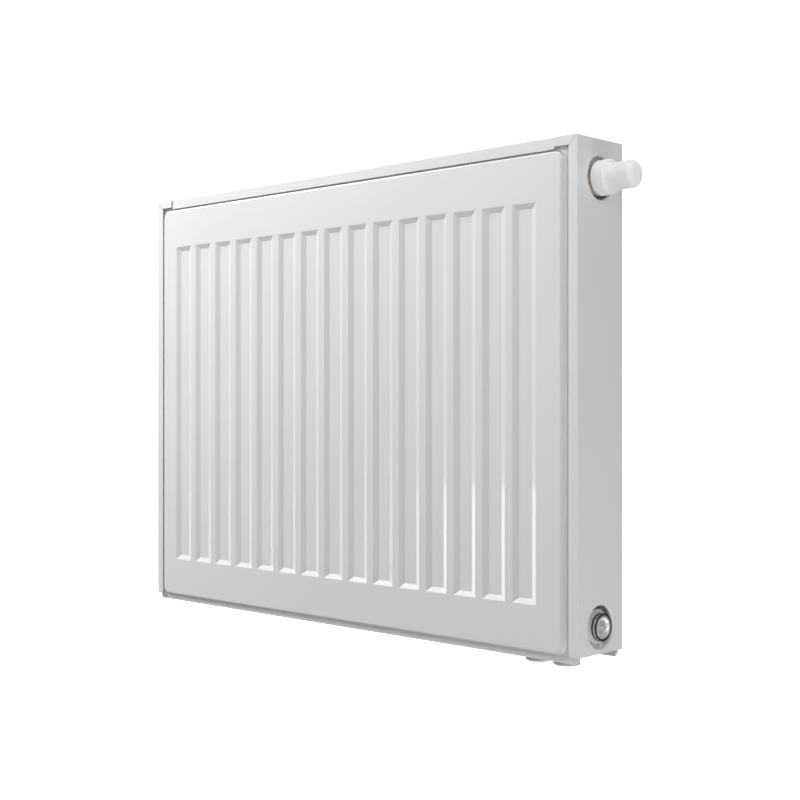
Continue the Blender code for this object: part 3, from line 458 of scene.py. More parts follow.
def pressed_levels(steps):
    """Depths at which the flute's wall is divided, closest together in its two bends."""
    slope = math.atan2(FLUTE_DEPTH, FLUTE_RUN)
    upper = [FLUTE_BEND * (1 - math.cos(slope * step / steps)) for step in range(steps + 1)]
    return upper + [FLUTE_DEPTH - level for level in reversed(upper)]


def run_at(level, run):
    """Distance in from the flute's edge at which its wall has a given depth."""
    slope = math.atan2(FLUTE_DEPTH, run)
    tangent = FLUTE_BEND * math.tan(slope / 2)
    arc_depth = FLUTE_BEND * (1 - math.cos(slope))
    if level < arc_depth:
        return -tangent + math.sqrt(FLUTE_BEND ** 2 - (FLUTE_BEND - level) ** 2)
    if level > FLUTE_DEPTH - arc_depth:
        left = FLUTE_DEPTH - level
        return run + tangent - math.sqrt(FLUTE_BEND ** 2 - (FLUTE_BEND - left) ** 2)
    return level / math.tan(slope)


def flute_lines(edge, inward, run, levels):
    """(place, depth, level number) lines across one wall of a flute, from its edge inward."""
    lines = [(edge + inward * (run_at(0.0, run) - SUPPORT), 0.0, -1)]
    lines += [(edge + inward * run_at(level, run), level, i) for i, level in enumerate(levels)]
    last = levels[-1]
    lines.append((edge + inward * (run_at(last, run) + SUPPORT), last, len(levels)))
    return lines


def wall_profile(drop, run, bend, steps=8):
    """(outward, depth) points of the crown's bend, its wall and the bend at its foot."""
    slope = math.atan2(drop, run)
    crest, foot = bend * math.tan(slope / 2), FOOT_BEND * math.tan(slope / 2)
    turns = [slope * step / steps for step in range(steps + 1)]
    points = [(-crest - SUPPORT, 0.0)]
    points += [(bend * math.sin(a) - crest, bend * (1 - math.cos(a))) for a in turns]
    points += [
        (run + foot - FOOT_BEND * math.sin(a), drop - FOOT_BEND * (1 - math.cos(a)))
        for a in reversed(turns)
    ]
    points.append((run + foot + SUPPORT, drop))
    return points


def between(value, low, high, new_low, new_high):
    """Carry a value from one range over to another."""
    return new_low + (value - low) * (new_high - new_low) / (high - low)


def pressed_sheet(name, node, mirrored):
    """Face of a panel: fluted grid, crown bend with rounded corners, wall and seam flange."""
    levels = pressed_levels(4)
    left, right = -HALF + CROWN_LEFT + CROWN_CORNER, HALF - CROWN_RIGHT - CROWN_CORNER
    bottom, top = CROWN_BOTTOM + CROWN_CORNER, HEIGHT - CROWN_TOP - CROWN_CORNER
    xs = [(left, 0.0, -1)]
    for index in range(FLUTE_COUNT):
        start = -HALF + FIRST_FLUTE + index * FLUTE_PITCH
        xs += flute_lines(start, 1, FLUTE_RUN, levels)
        xs += flute_lines(start + FLUTE_WIDTH, -1, FLUTE_RUN, levels)[::-1]
    xs.append((right, 0.0, -1))
    zs = [(bottom, 0.0, -1)]
    zs += flute_lines(FLUTE_BOTTOM, 1, FLUTE_END_RUN, levels)
    zs += flute_lines(FLUTE_TOP, -1, FLUTE_END_RUN, levels)[::-1]
    zs.append((top, 0.0, -1))

    bm = bmesh.new()
    skins = []
    for extra in (0.0, SHEET):
        def spot(x, depth, height):
            depth = FACE_DEPTH + depth + extra
            return bm.verts.new(at(x, DEPTH - depth if mirrored else depth, height))

        grid = [[spot(x, min(dx, dz), z) for x, dx, _ in xs] for z, dz, _ in zs]
        for row in range(len(zs) - 1):
            for column in range(len(xs) - 1):
                a, b = grid[row][column], grid[row][column + 1]
                c, d = grid[row + 1][column + 1], grid[row + 1][column]
                levels_met = (xs[column][2], xs[column + 1][2], zs[row][2], zs[row + 1][2])
                low = (min(levels_met[:2]), min(levels_met[2:]))
                on_wall = low[0] == low[1] >= 0 and max(levels_met) < len(levels)
                if not on_wall:
                    bm.faces.new([a, b, c, d])
                elif (levels_met[0] < levels_met[1]) == (levels_met[2] < levels_met[3]):
                    bm.faces.new([a, b, c])
                    bm.faces.new([a, c, d])
                else:
                    bm.faces.new([a, b, d])
                    bm.faces.new([b, c, d])

        # border of the grid, anticlockwise, with the corner points repeated for the arcs
        sides = [
            (grid[0], (0, -1)), ([row[-1] for row in grid], (1, 0)),
            (grid[-1][::-1], (0, 1)), ([row[0] for row in grid][::-1], (-1, 0)),
        ]
        flat = []
        for line, outward in sides:
            flat += [(vert, outward) for vert in line]
            base = math.atan2(outward[1], outward[0])
            for step in range(1, CORNER_STEPS):
                angle = base + math.pi / 2 * step / CORNER_STEPS
                flat.append((line[-1], (math.cos(angle), math.sin(angle))))

        rings = [[vert for vert, _ in flat]]
        drop = CROWN_RISE if extra == 0.0 else FLANGE_DEPTH - FACE_DEPTH
        upright = wall_profile(drop, UPRIGHT_RUN, UPRIGHT_BEND)
        level = wall_profile(drop, LEVEL_RUN, LEVEL_BEND)
        for (out_x, depth_x), (out_z, depth_z) in zip(upright, level):
            rings.append([
                spot(
                    vert.co.x + way[0] * (CROWN_CORNER + out_x),
                    depth_x * way[0] ** 2 + depth_z * way[1] ** 2,
                    vert.co.z - LOWER + way[1] * (CROWN_CORNER + out_z),
                ) for vert, way in flat
            ])
        side = HALF - FLANGE_SIDE_GAP - FLANGE_CORNER
        roof = HEIGHT - FLANGE_TOP_GAP - FLANGE_CORNER
        edge = []
        for vert, way in flat:
            x = between(vert.co.x, left, right, -side, side)
            z = between(vert.co.z - LOWER, bottom, top, FLANGE_CORNER, roof)
            edge.append(spot(x + way[0] * FLANGE_CORNER, drop, z + way[1] * FLANGE_CORNER))
        rings.append(edge)
        for near, far in zip(rings, rings[1:]):
            count = len(near)
            for index in range(count):
                nxt = (index + 1) % count
                corners = list(dict.fromkeys([near[index], near[nxt], far[nxt], far[index]]))
                if len(corners) > 2:
                    bm.faces.new(corners)
        skins.append(rings[-1])
    first, second = skins
    for index in range(len(first)):
        nxt = (index + 1) % len(first)
        bm.faces.new([first[index], first[nxt], second[nxt], second[index]])
    return finish(name, bm, "white_paint", "radiator", node, sharp=18.0)


pressed_sheet("front_face", "front_face_sheet", False)
pressed_sheet("rear_wall_face", "rear_wall_sheet", True)


# ---------------------------------------------------------------- covers

COVER = 0.001
LIP_WIDTH = 0.0104
SIDE_BOTTOM = 0.0068
SIDE_TOP_FLANGE = 0.028
SIDE_TAB_DROP = 0.0095
SIDE_FLANGE_DEPTH = 0.068
SIDE_HOLE = 0.0205
HOLE_RIM = 0.0020
FOLD = 0.0012
SOFT_FOLD = 0.0025
REAR_CORNER = 0.005
LIP_CORNER = 0.004
MITRE_SLIT = 0.0005
MITRE_BRIDGE = 0.0022
MITRE_PAST_LIP = 0.002
UPPER_PORT = 0.462
LOWER_PORT = 0.0325
COLLAR_DEPTH = 0.0024
SIDE_BROKEN_EDGE = 0.00018


def disc_outline(radius, facets, centre=(0.0, 0.0)):
    """Points of a regular outline about a centre."""
    return [
        (centre[0] + radius * math.cos(2 * math.pi * i / facets),
         centre[1] + radius * math.sin(2 * math.pi * i / facets)) for i in range(facets)
    ]


def outside_corner(a, b, a_way, b_way, radius, beyond=0.002):
    """Outline of what a round corner at (a, b) leaves of a square one, and a little beyond it."""
    centre = (a - a_way * radius, b - b_way * radius)
    quarter = arc((0, 0), radius, 0, 90, 8)
    spots = [(centre[0] + a_way * x, centre[1] + b_way * y) for x, y in quarter]
    far_a, far_b = a + a_way * beyond, b + b_way * beyond
    return [(far_a, centre[1]), *spots, (centre[0], far_b), (far_a, far_b)]


def side_panel(label, side):
    """Side cover: channel with two lips, folded top flange with a mitred front tab, two holes."""

    def plan(x, depth, height):
        return at(side * x, depth, height)

    def end_view(depth, height, x):
        return at(side * x, depth, height)

    def front_view(x, height, depth):
        return at(side * x, depth, height)

    inner = HALF - COVER
    lip = HALF - LIP_WIDTH
    channel = [
        (lip, 0.0), (HALF, 0.0), (HALF, DEPTH), (lip, DEPTH), (lip, DEPTH - COVER),
        (inner, DEPTH - COVER), (inner, COVER), (lip, COVER),
    ]
    radii = [0, FOLD, SOFT_FOLD, 0, 0, SOFT_FOLD - COVER, FOLD - COVER, 0]
    base = prism(rounded(channel, radii, 6), SIDE_BOTTOM, HEIGHT, plan)
    top = [
        (0.0, HEIGHT - SIDE_TAB_DROP), (COVER, HEIGHT - SIDE_TAB_DROP), (COVER, HEIGHT - COVER),
        (SIDE_FLANGE_DEPTH, HEIGHT - COVER), (SIDE_FLANGE_DEPTH, HEIGHT), (0.0, HEIGHT),
    ]
    parts = [("UNION", prism(top, HALF - SIDE_TOP_FLANGE, HALF - SOFT_FOLD, end_view))]
    reach = LIP_WIDTH + MITRE_PAST_LIP
    corner = Vector((HALF - reach, HEIGHT - reach))
    apex = Vector((HALF - MITRE_BRIDGE, HEIGHT - MITRE_BRIDGE))
    across = Vector((-1, 1)).normalized() * (MITRE_SLIT / 2)
    blade = [corner + across, corner - across, apex - across, apex + across]
    parts.append(("DIFFERENCE", prism(blade, -COVER, 2 * COVER, front_view)))
    past_lip, past_end = HALF - SIDE_TOP_FLANGE - COVER, HALF + COVER
    for outline in (
        outside_corner(0.0, HEIGHT, -1, 1, FOLD), outside_corner(DEPTH, HEIGHT, 1, 1, REAR_CORNER),
    ):
        parts.append(("DIFFERENCE", prism(outline, past_lip, past_end, end_view)))
    fold = outside_corner(HALF, HEIGHT, 1, 1, SOFT_FOLD)
    parts.append(("DIFFERENCE", prism(fold, -COVER, DEPTH + COVER, front_view)))
    for near, far in ((-COVER, 2 * COVER), (DEPTH - 2 * COVER, DEPTH + COVER)):
        notch = outside_corner(lip, SIDE_BOTTOM, -1, -1, LIP_CORNER)
        parts.append(("DIFFERENCE", prism(notch, near, far, front_view)))
    for height in (UPPER_PORT, LOWER_PORT):
        collar = disc_outline(SIDE_HOLE + COVER, 96, (MIDDLE, height))
        parts.append(("UNION", prism(collar, inner - COLLAR_DEPTH, inner + COVER / 2, end_view)))
        wide = SIDE_HOLE + HOLE_RIM
        hole = [(0.0, COVER), (wide, COVER), *arc((wide, -HOLE_RIM), HOLE_RIM, 90, 180, 8)]
        hole += [(SIDE_HOLE, -COVER - 2 * COLLAR_DEPTH), (0.0, -COVER - 2 * COLLAR_DEPTH)]
        bm = bmesh.new()
        lathe(bm, hole, at(side * HALF, MIDDLE, height), (side, 0, 0), 96)
        parts.append(("DIFFERENCE", bm))
    bm = combined(base, parts)
    break_edges(bm, SIDE_BROKEN_EDGE)
    finish(f"side_cover_{label}", bm, "white_paint", "radiator", f"side_panel_{label}", sharp=40.0)


side_panel("left", -1)
side_panel("right", 1)

GRILLE_SLOTS = 44
SLOT_WIDTH = 0.0065
SLOT_PITCH = 0.0130
SLOT_LENGTH = 0.048
GRILLE_LIP_DROP = 0.0117
GRILLE_LIP_DEPTH = 0.0013
GRILLE_INNER_BEND = 0.0003
GRILLE_BROKEN_EDGE = 0.00022
TONGUE_ROOT = 0.004
TONGUE_REACH = 0.014
TONGUE_HALF_WIDTH = 0.020


def top_grille():
    """Top cover: channel with two lips, a row of round-ended slots and a tongue at each end."""
    end = HALF - SIDE_TOP_FLANGE - GAP
    front, back = GRILLE_LIP_DEPTH, DEPTH - GRILLE_LIP_DEPTH
    low, under = HEIGHT - GRILLE_LIP_DROP, HEIGHT - COVER
    section = [
        (front, low), (front + COVER, low), (front + COVER, under), (back - COVER, under),
        (back - COVER, low), (back, low), (back, HEIGHT), (front, HEIGHT),
    ]
    section = rounded(section, [0, 0, GRILLE_INNER_BEND, GRILLE_INNER_BEND, 0, 0, FOLD, FOLD])
    base = prism(section, -end, end, end_on)
    parts = []
    first = -SLOT_PITCH * (GRILLE_SLOTS - 1) / 2
    half = SLOT_WIDTH / 2
    reach = SLOT_LENGTH / 2 - half
    cutters = bmesh.new()
    for index in range(GRILLE_SLOTS):
        x = first + index * SLOT_PITCH
        outline = arc((x, MIDDLE + reach), half, 0, 180, 8)
        outline += arc((x, MIDDLE - reach), half, 180, 360, 8)
        slot = prism(outline, HEIGHT - 3 * COVER, HEIGHT + COVER, at)
        mesh = bpy.data.meshes.new("slot")
        slot.to_mesh(mesh)
        slot.free()
        cutters.from_mesh(mesh)
        bpy.data.meshes.remove(mesh)
    parts.append(("DIFFERENCE", cutters))
    for side in (-1, 1):
        root, tip = end - TONGUE_ROOT, end + TONGUE_REACH
        tongue = [
            (root, under + GAP), (root, under - GAP - COVER), (tip, under - GAP - COVER),
            (tip, under - GAP), (end - GAP, under - GAP), (end - GAP, under + GAP),
        ]
        solid = prism(
            tongue, MIDDLE - TONGUE_HALF_WIDTH, MIDDLE + TONGUE_HALF_WIDTH,
            lambda x, height, depth, side=side: at(side * x, depth, height),
        )
        parts.append(("UNION", solid))
    bm = combined(base, parts)
    break_edges(bm, GRILLE_BROKEN_EDGE)
    finish("grille_cover", bm, "white_paint", "radiator", "top_grille", sharp=40.0)


top_grille()

# ---------------------------------------------------------------- valve, plugs and vent

# A profile's points are (radius, distance along the axis), from the side cover's outer face outward
# on a port, and from the lower edge upward on a nipple.
PORT_SEAT = -0.004
SOCKET_RADIUS = 0.0168
SOCKET_BORE = 0.0102
TEE_BRANCH = 0.0404
CAP_GROOVE_PITCH = 60.0
CAP_GROOVE_TURN = 29.0
CAP_GROOVE_HALF_WIDTH = 2.6
CAP_GROOVE_DEPTH = 0.00045
RIM_RADIUS = 0.0127
PLUG_THREAD = 0.0099
PLUG_END = -0.0180
RING_RADIUS = 0.0134
KEY_SOCKET = 0.0058


def port(side, height):
    """Where a port's axis meets the side cover's outer face."""
    return at(side * HALF, MIDDLE, height)


def protective_cap():
    """Cap with a grooved collar, a bevelled shoulder and a nose with a rounded tip."""
    collar, bore = 0.0170, 0.0152
    nose, nose_bore, tip = 0.0131, 0.0112, 0.0413
    roof = tip - 0.0035
    profile = [
        (bore, -0.0005), (collar, -0.0005), (collar, 0.0124), (collar - 0.0014, 0.0140),
        (nose + 0.0004, 0.0140), (nose, 0.0150), (nose, tip), (0.0, tip), (0.0, 0.0243),
        (0.0035, 0.0243), (0.0035, roof), (nose_bore, roof), (nose_bore, 0.0136), (bore, 0.0120),
    ]
    radii = [
        0.0003, 0.0007, 0.0009, 0.0005, 0.0006, 0.0008, 0.0062,
        0, 0, 0.0004, 0.0005, 0.003, 0.0003, 0.0003,
    ]
    profile = extra_rings(rounded(profile, radii, 7), collar, (0.10, 0.16, 0.84, 0.90))

    def grooves(radius, along, angle):
        if radius < collar - 0.0001 or not 0.0012 < along < 0.0113:
            return radius
        turn = (math.degrees(angle) + CAP_GROOVE_TURN) % CAP_GROOVE_PITCH
        gap = min(turn, CAP_GROOVE_PITCH - turn)
        return radius - CAP_GROOVE_DEPTH * max(0.0, 1.0 - gap / CAP_GROOVE_HALF_WIDTH)

    turned(
        "valve_cap", profile, port(1, UPPER_PORT), (1, 0, 0), "white_plastic", "cap",
        "protective_cap", facets=240, wobble=grooves,
    )


protective_cap()


def blank_plug(label, side):
    """Chrome plug with a dished face and hexagonal key socket, and its two black rings."""
    place = port(side, LOWER_PORT)
    outward = (side, 0, 0)
    face, disc = 0.0034, 0.0113
    body = [
        (0.0, PLUG_END), (PLUG_THREAD, PLUG_END), (PLUG_THREAD, -0.0036), (RIM_RADIUS, -0.0036),
        (RIM_RADIUS, -0.0022), (0.0107, -0.0022), (0.0107, -0.0006), (RIM_RADIUS, -0.0006),
        (RIM_RADIUS, 0.0018), (disc, 0.0018), (disc, face), (0.0090, face), (0.0074, 0.0012),
        (0.0, 0.0012),
    ]
    radii = [0, 0.001, 0, 0, 0.0002, 0, 0, 0.0003, 0.0003, 0, 0.0006, 0.0007, 0.0009, 0]
    bm = bmesh.new()
    lathe(bm, rounded(body, radii, 5), place, outward, 120)
    key = prism(
        disc_outline(KEY_SOCKET, 6), -0.0070, 0.0024,
        lambda a, b, level: place + Vector((side * level, a, b)),
    )
    bm = combined(bm, [("DIFFERENCE", key)])
    finish(f"blank_plug_{label}", bm, "chrome", "radiator", f"plug_bottom_{label}_body", sharp=35.0)
    rings = (("outer", 0.0021, 0.0035, disc + GAP), ("inner", -0.0019, -0.0009, 0.0110))
    for ring, start, stop, inner in rings:
        profile = [(inner, start), (RING_RADIUS, start), (RING_RADIUS, stop), (inner, stop)]
        radius = (stop - start) * 0.42
        profile = rounded(profile, [0, radius, radius, 0], 6)
        turned(
            f"plug_ring_{label}_{ring}", profile, place, outward,
            "black_rubber", "radiator", f"plug_bottom_{label}_{ring}_ring", facets=120,
        )


blank_plug("right", 1)
blank_plug("left", -1)

SUPPLY_FROM_END = 0.0745
NIPPLE_RADIUS, NIPPLE_BORE = 0.0134, 0.0093
NIPPLE_BOTTOM, NIPPLE_SEAT = -0.0088, 0.012
RISER_RADIUS, RISER_BORE, RISER_END = 0.0100, 0.0073, 0.0240


def nipple(label, from_end, upper):
    """Connection nipple with a groove above its chamfered end; upper is its other end."""
    radius, bore, bottom = NIPPLE_RADIUS, NIPPLE_BORE, NIPPLE_BOTTOM
    profile = [
        (bore, bottom), (radius - 0.0020, bottom), (radius, bottom + 0.0020),
        (radius, bottom + 0.0026), (radius - 0.0005, bottom + 0.0031),
        (radius - 0.0005, bottom + 0.0039), (radius, bottom + 0.0044), *upper,
    ]
    radii = [0.0004, 0.0005, 0.0003, 0.0002, 0.0002, 0.0002, 0.0002] + [0.0] * len(upper)
    place = at(HALF - from_end, MIDDLE, 0.0)
    turned(
        f"{label}_stub", rounded(profile, radii, 4), place, (0, 0, 1), "white_paint", "radiator",
        f"{label}_nipple", facets=120,
    )
    plug = [
        (0.0, bottom + 0.0030), (0.0045, bottom + 0.0030), (0.0055, bottom + 0.0012),
        (bore - GAP, bottom + 0.0012), (bore - GAP, bottom + 0.0065), (0.0, bottom + 0.0065),
    ]
    plug = rounded(plug, [0, 0.0008, 0.0004, 0.0003, 0.0004, 0], 4)
    turned(
        f"{label}_stopper", plug, place, (0, 0, 1), "white_plastic", "radiator",
        f"{label}_transport_plug", facets=72,
    )


nipple("supply", SUPPLY_FROM_END, [
    (NIPPLE_RADIUS, 0.0080), (RISER_RADIUS, 0.0110), (RISER_RADIUS, RISER_END),
    (RISER_BORE, RISER_END), (RISER_BORE, 0.0080), (NIPPLE_BORE, 0.0060),
])
nipple("return", TEE_BRANCH, [(NIPPLE_RADIUS, 0.0117), (NIPPLE_BORE, 0.0117)])

KNURL_DEPTH = 0.00018
KNURL_COUNT = 30
SPOUT_OUT = 0.0066


def rod_points(radius, start, end):
    """Profile of a plain rod."""
    return [(0.0, start), (radius, start), (radius, end), (0.0, end)]


def air_vent():
    """Vent plug, its turning nozzle with a knurled rim and its square-headed screw."""
    place = port(-1, UPPER_PORT)
    outward = (-1, 0, 0)
    body = [
        (0.0012, PLUG_END), (PLUG_THREAD, PLUG_END), (PLUG_THREAD, -0.0050), (0.0090, -0.0050),
        (0.0090, -0.0036), (RIM_RADIUS, -0.0036), (RIM_RADIUS, 0.0020), (0.0070, 0.0020),
        (0.0070, 0.0034), (0.0031, 0.0034), (0.0031, -0.0060), (0.0012, -0.0090),
    ]
    radii = [0, 0.001, 0, 0, 0, 0.0003, 0.0007, 0.0003, 0.0003, 0.0003, 0, 0]
    turned(
        "vent_plug", rounded(body, radii, 5), place, outward, "chrome", "radiator",
        "air_vent_body", facets=120,
    )
    inner, outer, near, far = 0.0045, 0.0092, 0.0037, 0.0095

    def knurl(radius, along, angle):
        if radius < outer - 0.0002 or not 0.0045 < along < 0.0087:
            return radius
        return radius - KNURL_DEPTH * (1 + math.cos(angle * KNURL_COUNT))

    ring = [(inner, near), (outer, near), (outer, far), (inner, far)]
    ring = extra_rings(rounded(ring, [0.0003, 0.0008, 0.0009, 0.0006], 5), outer, (0.1, 0.9))
    bm = bmesh.new()
    lathe(bm, ring, place, outward, 240, knurl)
    spout_place = place + Vector((-SPOUT_OUT, 0.0, 0.0))
    spout = bmesh.new()
    tube = rounded(rod_points(0.0022, 0.0070, 0.0140), [0, 0, 0.0004, 0], 4)
    lathe(spout, tube, spout_place, (0, 0, -1), 48)
    bore = bmesh.new()
    lathe(bore, rod_points(0.0010, 0.0030, 0.0160), spout_place, (0, 0, -1), 32)
    bm = combined(bm, [("UNION", spout), ("DIFFERENCE", bore)])
    finish("vent_nozzle_ring", bm, "white_plastic", "vent_nozzle", "air_vent_nozzle", sharp=40.0)

    bm = bmesh.new()
    screw = [
        (0.0, -0.0050), (0.0028, -0.0050), (0.0028, 0.0040), (0.0036, 0.0044), (0.0036, 0.0080),
        (0.0, 0.0080),
    ]
    lathe(bm, rounded(screw, [0, 0.0003, 0, 0.0002, 0.0004, 0], 4), place, outward, 64)
    half = 0.0025
    square = rounded([(-half, -half), (half, -half), (half, half), (-half, half)], [0.0004] * 4, 3)
    head = prism(square, 0.0070, 0.0150, lambda a, b, level: place + Vector((-level, a, b)))
    bm = combined(bm, [("UNION", head)])
    break_edges(bm, 0.0002)
    finish("vent_key_screw", bm, "brass", "vent_screw", "air_vent_screw", sharp=40.0)


air_vent()

VALVE_BRANCH = 0.034
PANEL_THICKNESS = 0.013
CROSS_RADIUS = 0.015
CROSS_BORE = 0.0095


def tee(name, node, side, height, branch, outer, bore, extra=()):
    """Cross tube between the panels with a branch along the length.

    The rods have different facet counts, so that none of their edges coincide. extra holds the
    downward branch and its bore.
    """
    half = MIDDLE - PANEL_THICKNESS - GAP
    place = at(side * (HALF - branch), MIDDLE, height)
    origin = port(side, height)
    along = (side, 0, 0)

    def rod(profile, spot, way, facets=72):
        bm = bmesh.new()
        lathe(bm, profile, spot, way, facets)
        return bm

    tube = rod(rod_points(CROSS_RADIUS, -half, half), place, (0, 1, 0))
    through = half + COVER
    parts = [("UNION", rod(outer, origin, along, 71))]
    parts += [("UNION", rod(profile, place, way, 70)) for profile, way in extra[:1]]
    cross = rod_points(CROSS_BORE, -through, through)
    parts.append(("DIFFERENCE", rod(cross, place, (0, 1, 0), 47)))
    parts.append(("DIFFERENCE", rod(bore, origin, along, 61)))
    parts += [("DIFFERENCE", rod(profile, place, way, 46)) for profile, way in extra[1:]]
    bm = combined(tube, parts)
    finish(name, bm, "inner_paint", "radiator", node, sharp=35.0)


def boss(branch, start, seat):
    """Outer profile of a plain branch, with a rounded rim."""
    return rounded(rod_points(SOCKET_RADIUS, start - branch, seat), [0, 0, 0.0008, 0], 4)


ROOT = 0.0043
DROP = LOWER_PORT - NIPPLE_SEAT
DOWNWARD = (
    (rod_points(NIPPLE_RADIUS, ROOT, DROP), (0, 0, -1)),
    (rod_points(0.0080, ROOT, DROP + COVER), (0, 0, -1)),
)
for name, side, height, extra in (
    ("top_left", -1, UPPER_PORT, ()), ("bottom_left", -1, LOWER_PORT, ()),
    ("bottom_right", 1, LOWER_PORT, DOWNWARD),
):
    tee(
        f"corner_tee_{name}", f"tee_{name}", side, height, TEE_BRANCH,
        boss(TEE_BRANCH, -ROOT, PORT_SEAT),
        rod_points(SOCKET_BORE, ROOT - TEE_BRANCH, PORT_SEAT + COVER), extra,
    )
shoulder = -VALVE_BRANCH - 0.006
housing = [
    (0.0, -0.058), (0.0125, -0.058), (0.0125, shoulder - 0.003), (SOCKET_RADIUS, shoulder),
    (SOCKET_RADIUS, PORT_SEAT), (0.0, PORT_SEAT),
]
valve_bore = [
    (0.0, -0.059), (0.0073, -0.059), (0.0073, -0.0471), (0.006, -0.0471), (0.006, -0.0441),
    (0.009, -0.0441), (0.009, -0.022), (SOCKET_BORE, -0.022), (SOCKET_BORE, PORT_SEAT + COVER),
    (0.0, PORT_SEAT + COVER),
]
tee(
    "valve_body", "valve_housing", 1, UPPER_PORT, VALVE_BRANCH,
    rounded(housing, [0, 0.0006, 0, 0, 0.0008, 0], 4), valve_bore,
)

SPRING_WIRE = 0.0006
SPRING_TURNS = 6.5
SPRING_END_TURNS = 0.9
SPRING_STEPS = 32


def valve_spring():
    """Compression spring with close end turns; in the real valve the spindle presses it together.
    """
    low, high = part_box("valve_spring")
    middle = (low + high) / 2
    radius = (high.z - low.z) / 2 - SPRING_WIRE
    start, end = low.x + SPRING_WIRE, high.x - SPRING_WIRE
    count = round(SPRING_TURNS * SPRING_STEPS)
    close = 2.2 * SPRING_WIRE
    reach = close * SPRING_END_TURNS
    last_open = SPRING_TURNS - SPRING_END_TURNS
    bm = bmesh.new()
    rings = []
    for step in range(count + 1):
        turn = SPRING_TURNS * step / count
        left = SPRING_TURNS - turn
        if turn < SPRING_END_TURNS:
            x = start + close * turn
        elif left < SPRING_END_TURNS:
            x = end - close * left
        else:
            x = between(turn, SPRING_END_TURNS, last_open, start + reach, end - reach)
        angle = 2 * math.pi * turn
        outward = Vector((0.0, math.cos(angle), math.sin(angle)))
        core = Vector((x, middle.y, middle.z)) + outward * radius
        rings.append([
            bm.verts.new(core + outward * (SPRING_WIRE * a) + Vector((SPRING_WIRE * b, 0.0, 0.0)))
            for a, b in disc_outline(1.0, 10)
        ])
    bm.faces.new(rings[0])
    bm.faces.new(rings[-1][::-1])
    for near, far in zip(rings, rings[1:]):
        for index in range(len(near)):
            nxt = (index + 1) % len(near)
            bm.faces.new([near[index], far[index], far[nxt], near[nxt]])
    spring = finish("closing_spring", bm, "steel", "radiator", "valve_spring", sharp=50.0)
    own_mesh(spring)


valve_spring()

LUG_SHEET = 0.002
LUG_STAND_OFF = 0.008
LUG_WIDTH = 0.028
LUG_FOOT, LUG_HOOK, LUG_HEAD = 0.030, 0.020, 0.014
LUG_FROM_END = 0.115
UPPER_LUG_FROM_TOP = 0.052
LOWER_LUG_SEAT = 0.090


def hanging_lug(row, label, side, seat):
    """Folded strap with rounded bends and four weld dimples on its foot."""
    foot = DEPTH - FACE_DEPTH + GAP
    inner, stand = foot + LUG_SHEET, foot + LUG_SHEET + LUG_STAND_OFF
    outer = stand + LUG_SHEET
    outline = [
        (foot, seat - LUG_FOOT), (inner, seat - LUG_FOOT), (inner, seat), (stand, seat),
        (stand, seat - LUG_HOOK), (outer, seat - LUG_HOOK), (outer, seat + LUG_SHEET),
        (inner, seat + LUG_SHEET), (inner, seat + LUG_HEAD), (foot, seat + LUG_HEAD),
    ]
    radii = [0, 0, 0.001, 0.001, 0, 0, 0.0028, 0.001, 0, 0]
    centre = side * (HALF - LUG_FROM_END)
    outline = rounded(outline, radii, 5)
    bm = prism(outline, centre - LUG_WIDTH / 2, centre + LUG_WIDTH / 2, end_on)
    parts = []
    bowl = [(0.0, -0.0006), (0.0024, -0.0006), (0.0030, 0.001), (0.0, 0.001)]
    bowl = rounded(bowl, [0, 0.0006, 0, 0], 4)
    for x in (-0.007, 0.007):
        for height in (seat - 0.020, seat + 0.008):
            dimple = bmesh.new()
            lathe(dimple, bowl, at(centre + x, inner, height), (0, 1, 0), 32)
            parts.append(("DIFFERENCE", dimple))
    bm = combined(bm, parts)
    break_edges(bm, 0.0003, 60.0)
    finish(
        f"wall_lug_{row}_{label}", bm, "white_paint", "radiator", f"hanging_lug_{row}_{label}",
        sharp=40.0,
    )


for row, seat in (("upper", HEIGHT - UPPER_LUG_FROM_TOP), ("lower", LOWER_LUG_SEAT)):
    hanging_lug(row, "left", -1, seat)
    hanging_lug(row, "right", 1, seat)

# ---------------------------------------------------------------- CAD nodes that stay

slot_of = {entry["node"]: entry["material_slot"] for entry in frame["record"]["subparts"]}
for node_name, node in frame["nodes"].items():
    for material_slot in node.material_slots:
        material_slot.material = SLOTS[slot_of[node_name]]

# ---------------------------------------------------------------- stage, camera and lights

FLOOR_DROP = 0.16
PAPER_ROUGHNESS = 0.9
FLOOR_FLAT = 2.0
WALL_RADIUS, WALL_BEND, WALL_RISE = 7.0, 2.5, 6.0
BACKDROP_GLOW = 1.0


def stage_material():
    """Pale backdrop: nearly white, with a very faint cloud so that it isn't one flat colour."""
    n = Nodes("studio_paper")
    cloud = n.spread(n.noise(0.6, 2.0), 0.0, 1.0)
    colour = n.blend(cloud, (0.90, 0.90, 0.90), (0.93, 0.93, 0.93))
    return glowing(set_inputs(n.paint(colour), roughness=PAPER_ROUGHNESS), BACKDROP_GLOW)


